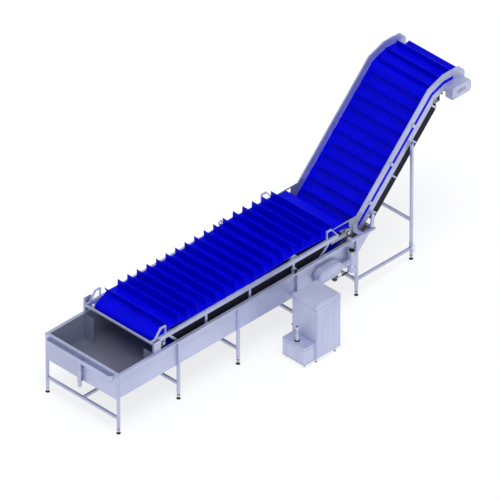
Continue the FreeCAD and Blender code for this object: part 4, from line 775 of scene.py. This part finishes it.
body_low, body_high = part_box("cabinet_body")
lid_low, lid_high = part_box("cabinet_lid")
skirt, gap, seams, fixings = Shape(), Shape(), Shape(), Shape()
band(skirt, lid_low, lid_high, lid_low.z - 0.004, lid_low.z + 0.030, 0.0012)
band(gap, body_low, body_high, body_high.z - 0.007, body_high.z - 0.0035, 0.0008)
for x in (lid_low.x + 0.035, lid_high.x - 0.035):
    screw(fixings, Vector((x, lid_low.y - 0.0012, lid_low.z + 0.012)), (0, -1, 0), 0.0065, 0.0017)
for y in (lid_low.y + 0.035, lid_high.y - 0.035):
    screw(fixings, Vector((lid_high.x + 0.0012, y, lid_low.z + 0.012)), (1, 0, 0), 0.0065, 0.0017)
edge, fold = body_high.x, body_low.y + 0.016
block(seams, (edge, fold, body_low.z + 0.006), (edge + 0.0010, fold + 0.0016, body_high.z - 0.008))
block(seams, (body_low.x + 0.012, body_low.y - 0.0010, body_low.z + 0.235),
      (body_high.x - 0.012, body_low.y, body_low.z + 0.2366))
for z in [body_low.z + 0.05 + 0.09 * k for k in range(7)]:
    fixings.turn(Vector((edge, body_low.y + 0.0085, z)), (1, 0, 0), [(0.003, 0), (0.0022, 0.0006)], 12)
skirt.make("cabinet_lid_skirt", panel, "frame", [], "cabinet_sheet")
gap.make("cabinet_lid_gap", seal_and_slot_shade, "frame", [], "black_rubber")

# %% [markdown]
# The dosing box beside it is one folded wrap with a pressed lid, so a shallow dark joint runs below
# its top. The low feet are rubber stubs.

# %% Dosing box joint and probe
dose_low, dose_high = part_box("dosing_box")


def rounded(low, high, radius, out, steps=7):
    """Corner points of the box's plan with its two front corners rounded, starting at the back left."""
    path = [(low.x - out, high.y)]
    for cx, first in ((low.x + radius, math.pi), (high.x - radius, 1.5 * math.pi)):
        cy = low.y + radius
        path += [(cx + math.cos(first + k * math.pi / 2 / steps) * (radius + out),
                  cy + math.sin(first + k * math.pi / 2 / steps) * (radius + out)) for k in range(steps + 1)]
    return path + [(high.x + out, high.y)]


def wrap(shape, low, high, radius, bottom, top, out):
    """A thin strip round the front and sides of the rounded box."""
    inner, outer = rounded(low, high, radius, 0.0), rounded(low, high, radius, out)
    count = len(inner)
    points = [(x, y, z) for z in (bottom, top) for ring in (inner, outer) for x, y in ring]
    faces = []
    for k in range(count - 1):
        faces += [(count + k, count + k + 1, 3 * count + k + 1, 3 * count + k),
                  (k, k + 1, count + k + 1, count + k),
                  (2 * count + k, 3 * count + k, 3 * count + k + 1, 2 * count + k + 1)]
    for k in (0, count - 1):
        faces.append((k, count + k, 3 * count + k, 2 * count + k))
    shape.add(points, faces)


wrap(seams, dose_low, dose_high, 0.028, dose_high.z - 0.030, dose_high.z - 0.0285, 0.0009)
wrap(seams, dose_low, dose_high, 0.028, dose_low.z + 0.010, dose_low.z + 0.0115, 0.0009)
for x in (0.22, 0.72):
    across = dose_low.x + (dose_high.x - dose_low.x) * x
    block(seams, (across, dose_low.y - 0.0008, dose_low.z + 0.012),
          (across + 0.0012, dose_low.y, dose_high.z - 0.03))
seams.make("panel_seams", seal_and_slot_shade, "frame", [], "black_rubber")

probe, cuffs = Shape(), Shape()
for corners in solids("level_probe"):
    low, high = span(corners)
    foot = Vector(((low.x + high.x) / 2, (low.y + high.y) / 2, low.z))
    size = high - low
    radius = size.y / 2
    if size.x > size.y * 1.05:
        start, bore = Vector((high.x, (low.y + high.y) / 2, (low.z + high.z) / 2)), size.z / 2
        cuffs.turn(start, (-1, 0, 0), [(bore, 0), (bore, 0.008), (bore * 0.86, 0.010),
                                       (bore * 0.80, size.x * 0.55), (bore * 0.72, size.x * 0.84),
                                       (bore * 0.40, size.x * 0.98)], 28)
        cuffs.turn(start - Vector((0.022, 0, 0)), (-1, 0, 0),
                   [(bore * 0.92, 0), (bore * 0.94, 0.004), (bore * 0.92, 0.008)], 28)
    elif size.z < 0.015 and radius > 0.02:
        cuffs.turn(foot, UP, [(radius, 0), (radius, size.z * 0.4), (radius * 0.94, size.z * 0.55),
                              (radius * 0.90, size.z)], 36)
    elif size.z < 0.015:
        cuffs.turn(foot, UP, [(radius, 0), (radius, size.z * 0.7), (radius * 0.8, size.z)], 28)
    else:
        tall = size.z
        probe.turn(foot, UP, [(radius * 0.96, 0), (radius * 0.96, tall * 0.06), (radius * 0.90, tall * 0.07),
                              (radius * 0.90, tall * 0.70), (radius, tall * 0.71), (radius, tall * 0.92),
                              (radius * 0.97, tall * 0.96), (radius * 0.80, tall)], 40)
probe.make("probe_column", probe_grey, "frame", ["level_probe"], "probe_body")
cuffs.make("probe_cuffs", rubber, "frame", [], "black_rubber")

# %% [markdown]
# The suction duct is a pressed obround cover on a dark gasket, with a raised land round its face,
# three pressed louvres and cap screws in the flange. Its outline is two half circles joined by
# straight lines, so one path serves the gasket, the land and the screw row.

# %% Suction duct
duct_low, duct_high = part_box("suction_duct")


def obround(inset, count=14):
    """Points (y, z) round the duct's outline, pulled in by inset."""
    reach = (duct_high.z - duct_low.z) / 2
    middle = (duct_high.z + duct_low.z) / 2
    front, rear = duct_low.y + reach, duct_high.y - reach
    path = []
    for centre, first in ((front, math.pi / 2), (rear, -math.pi / 2)):
        path += [(centre + math.cos(first + k * math.pi / count) * (reach - inset),
                  middle + math.sin(first + k * math.pi / count) * (reach - inset)) for k in range(count + 1)]
    return path


def ribbon(shape, x0, x1, outer, inner):
    """A flat closed strip between two insets of the duct's outline, from x0 to x1."""
    first, second = obround(outer), obround(inner)
    count = len(first)
    points = [(x, y, z) for x in (x0, x1) for path in (first, second) for y, z in path]
    faces = []
    for k in range(count):
        n = (k + 1) % count
        faces += [(k, n, count + n, count + k), (2 * count + k, 3 * count + k, 3 * count + n, 2 * count + n),
                  (k, 2 * count + k, 2 * count + n, n), (count + k, count + n, 3 * count + n, 3 * count + k)]
    shape.add(points, faces)


gasket_and_slot_shade, land, louvres = Shape(), Shape(), Shape()
duct_face = duct_high.x
ribbon(gasket_and_slot_shade, wall_high.x + 0.0078, wall_high.x + 0.0096, 0.0105, 0.0150)
ribbon(gasket_and_slot_shade, wall_high.x + 0.0002, wall_high.x + 0.0022, -0.0016, 0.030)
ribbon(land, duct_face - 0.0145, duct_face - 0.0090, 0.0135, 0.0190)
ribbon(gasket_and_slot_shade, duct_face - 0.0122, duct_face - 0.0105, 0.0192, 0.0222)
ribbon(gasket_and_slot_shade, duct_face - 0.0002, duct_face + 0.0003, 0.0400, 0.0425)
for k in range(3):
    y = duct_low.y + 0.195 + 0.034 * k
    sill, head = duct_low.z + 0.062, duct_low.z + 0.074
    louvres.pull([(y, sill), (y + 0.022, sill), (y + 0.022, head), (y, head)],
                 duct_face - 0.0002, duct_face + 0.0030)
    # A near-black strip under each louvre paints the shade in its opening.
    block(gasket_and_slot_shade, (duct_face + 0.0002, y - 0.001, duct_low.z + 0.0575),
          (duct_face + 0.0006, y + 0.023, duct_low.z + 0.0622))
louvres.make("duct_louvres", panel, "frame", [], "cabinet_sheet")
gasket_and_slot_shade.make("duct_gasket", seal_and_slot_shade, "frame", [], "black_rubber")
land.make("duct_edge_roll", panel, "frame", [], "cabinet_sheet")
duct_flange = obround(0.007, 5)
for y, z in duct_flange:
    screw(fixings, Vector((wall_high.x + 0.008, y, z)), (1, 0, 0), 0.0042, 0.0034)
fixings.make("panel_screws", turned, "frame", [], "turned_steel")

# %% [markdown]
# The drain is a cast ball valve. The casting has hexagon ends for a spanner, a round body and a
# neck with a packing nut. Its lever is pressed plate under a dipped rubber sleeve with finger
# grooves, and it turns with the lever body of the frame.

# %% Drain valve and lever
valve_low, valve_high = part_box("drain_valve")
lever_low, lever_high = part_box("valve_lever")
casting, lever, sleeve = Shape(), Shape(), Shape()
valve_y = (valve_low.y + valve_high.y) / 2
valve_x = valve_low.x + (valve_high.y - valve_low.y) / 2
valve_foot = Vector((valve_x, valve_y, valve_low.z))
stem_z = (lever_low.z + lever_high.z) / 2
tall = valve_high.z - valve_low.z
middle = stem_z - valve_low.z
big = (valve_high.y - valve_low.y) / 2
casting.turn(valve_foot, UP, [(big * 0.74, 0), (big * 0.77, 0.003), (big * 0.77, 0.019), (big * 0.72, 0.022)],
             6, False)
casting.turn(valve_foot, UP, [(big * 0.56, 0.018), (big * 0.56, middle - 0.032), (big * 0.74, middle - 0.020),
                              (big * 0.80, middle), (big * 0.74, middle + 0.020), (big * 0.54, middle + 0.032),
                              (big * 0.54, tall - 0.010)], 32)
casting.turn(valve_foot, UP, [(big * 0.97, tall - 0.0100), (big, tall - 0.0085), (big, tall - 0.0002)], 32)
neck = Vector((valve_x, valve_y, stem_z))
casting.turn(neck, (1, 0, 0), [(0.0125, 0.020), (0.0125, lever_low.x - valve_x - 0.006)], 20)
hub_gap = lever_low.x - valve_x
casting.turn(neck, (1, 0, 0), [(0.0100, hub_gap - 0.013), (0.0160, hub_gap - 0.012),
                               (0.0160, hub_gap - 0.003), (0.0145, hub_gap - 0.001)], 6, False)
casting.make("valve_casting", valve_metal, "frame", ["drain_valve"], "valve_bronze")

hub_x = lever_low.x
hub = Vector((hub_x, valve_y, stem_z))
lever.turn(hub, (1, 0, 0), [(0.0150, 0.0005), (0.0158, 0.002), (0.0158, 0.0085), (0.0130, 0.0105)], 24)
lever.turn(hub, (1, 0, 0), [(0.0080, 0.010), (0.0080, 0.0130)], 6, False)
block(lever, (hub_x + 0.0025, valve_y + 0.002, stem_z - 0.0095),
      (hub_x + 0.0078, valve_y + 0.075, stem_z + 0.0095))
lever.make("valve_lever_plate", turned, "drain_lever", [], "turned_steel")
reach = lever_high.y - 0.0005
start_y = valve_y + 0.066
outline = []
grooves = 6
step_y = (reach - start_y) / grooves
for k in range(grooves):
    for share, depth in ((0.0, 0.0095), (0.25, 0.0122), (0.5, 0.0128), (0.75, 0.0122)):
        outline.append((start_y + (k + share) * step_y, depth))
outline.append((reach, 0.0080))
below = [(y, stem_z - depth) for y, depth in outline]
above = [(y, stem_z + min(depth, 0.0118)) for y, depth in reversed(outline)]
sleeve.pull(below + above, hub_x + 0.0004, hub_x + 0.0136)
sleeve.make("valve_lever_grip", grip_rubber, "drain_lever", ["valve_lever"], "valve_bronze")

# %% [markdown]
# The upright pump column is a turned can. Its lid is held by cap screws, a band clamp closes the
# joint below it, and the inlet elbow has a clamp collar. The overflow downpipe hangs in a clip under
# the gutter, and a second clamp closes its hose end.

# %% Pump column and clips
clips, can = Shape(), Shape()
can_parts = sorted((span(corners) for corners in solids("pump_column")),
                   key=lambda pair: -(pair[1].z - pair[0].z) * (pair[1].y - pair[0].y))
can_low, can_high = can_parts[0]
can_radius = (can_high.y - can_low.y) / 2
can_foot = Vector(((can_low.x + can_high.x) / 2, (can_low.y + can_high.y) / 2, can_high.z))
lid_top = max(high.z for low, high in can_parts)
for k in range(8):
    angle = 2 * math.pi * (k + 0.5) / 8
    reach = can_radius - 0.007
    spot = Vector((can_foot.x + math.cos(angle) * reach, can_foot.y + math.sin(angle) * reach, lid_top))
    screw(can, spot, UP, 0.0040, 0.0036)
for drop in (0.024, 0.200):
    clips.turn(can_foot - Vector((0, 0, drop)), UP,
               [(can_radius + 0.0002, 0), (can_radius + 0.0018, 0.0010), (can_radius + 0.0018, 0.0120),
                (can_radius + 0.0002, 0.0130)], 56)
    buckle = can_foot + Vector((can_radius + 0.001, -0.012, -drop + 0.001))
    block(clips, buckle, buckle + Vector((0.0065, 0.024, 0.011)))
can.make("column_screws", turned, "frame", [], "turned_steel")

pipe_low, pipe_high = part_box("gutter_downpipe")
pipe_x, pipe_y = (pipe_low.x + pipe_high.x) / 2, (pipe_low.y + pipe_high.y) / 2
pipe_radius = (pipe_high.x - pipe_low.x) / 2
for z in (pipe_low.z + 0.075, pipe_high.z - 0.075):
    clips.turn(Vector((pipe_x, pipe_y, z)), UP, [(pipe_radius * 1.001, 0), (pipe_radius + 0.0016, 0.001),
                                                 (pipe_radius + 0.0016, 0.011), (pipe_radius * 1.001, 0.012)], 40)
clips.make("band_clamps", turned, "frame", [], "turned_steel")

# %% [markdown]
# The elevator's gearmotor sits under a folded cover. A row of vents lets its heat out, drawn as
# near-black strips of painted shade where the open slots would be, and a screw near each corner holds
# the cover to the brackets behind it.

# %% Drive cover
cover_low, cover_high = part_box("motor_cover")
vents, heads = Shape(), Shape()
for k in range(7):
    y = cover_low.y + 0.080 + 0.020 * k
    # Each vent strip is painted shade: a near-black patch on the cover's face in place of an open slot.
    block(vents, (cover_high.x - 0.0006, y, cover_low.z + 0.052),
          (cover_high.x + 0.0004, y + 0.007, cover_low.z + 0.100))
vents.make("cover_vents", seal_and_slot_shade, "frame", [], "black_rubber")
for y in (cover_low.y + 0.018, cover_high.y - 0.018):
    for z in (cover_low.z + 0.016, cover_high.z - 0.016):
        screw(heads, Vector((cover_high.x, y, z)), (1, 0, 0), 0.0042, 0.0034)
heads.make("cover_screws", turned, "frame", [], "turned_steel")

# %% [markdown]
# A pale floor that lights itself a little keeps shadows soft, as on a studio's white sweep.
# One broad sun from above and one from the side give direction, and an even sky fills the rest.

# %% Floor and light
def sweep_floor():
    mesh = bpy.data.meshes.new("studio_floor")
    mesh.from_pydata([(-60, -60, 0), (60, -60, 0), (60, 60, 0), (-60, 60, 0)], [], [(0, 1, 2, 3)])
    plane = bpy.data.objects.new("studio_floor", mesh)
    bpy.context.scene.collection.objects.link(plane)
    plane.location.z = -0.0005
    pale = Finish("studio_white", (0.30, 0.30, 0.305), 0.9, 0.0, Specular_IOR_Level=0.0)
    pale.shader.inputs["Emission Color"].default_value = (1.0, 1.0, 1.0, 1.0)
    pale.shader.inputs["Emission Strength"].default_value = 0.715
    mesh.materials.append(pale.material)


def sun(name, direction, strength, angle):
    light = bpy.data.lights.new(name, "SUN")
    light.energy, light.angle = strength, math.radians(angle)
    lamp = bpy.data.objects.new(name, light)
    bpy.context.scene.collection.objects.link(lamp)
    lamp.rotation_mode = "QUATERNION"
    lamp.rotation_quaternion = Vector(direction).to_track_quat("Z", "Y")


sweep_floor()
sun("key_sun", (0.25, -0.20, 1.0), 1.20, 35.0)
sun("side_sun", (1.0, -0.55, 0.35), 0.62, 40.0)
sky = bpy.data.worlds.new("even_sky")
sky.use_nodes = True
sky.node_tree.nodes["Background"].inputs["Color"].default_value = (0.97, 0.98, 1.0, 1.0)
sky.node_tree.nodes["Background"].inputs["Strength"].default_value = 0.64
bpy.context.scene.world = sky
bpy.context.scene.view_settings.view_transform = "Standard"
print("floor, two suns and sky")
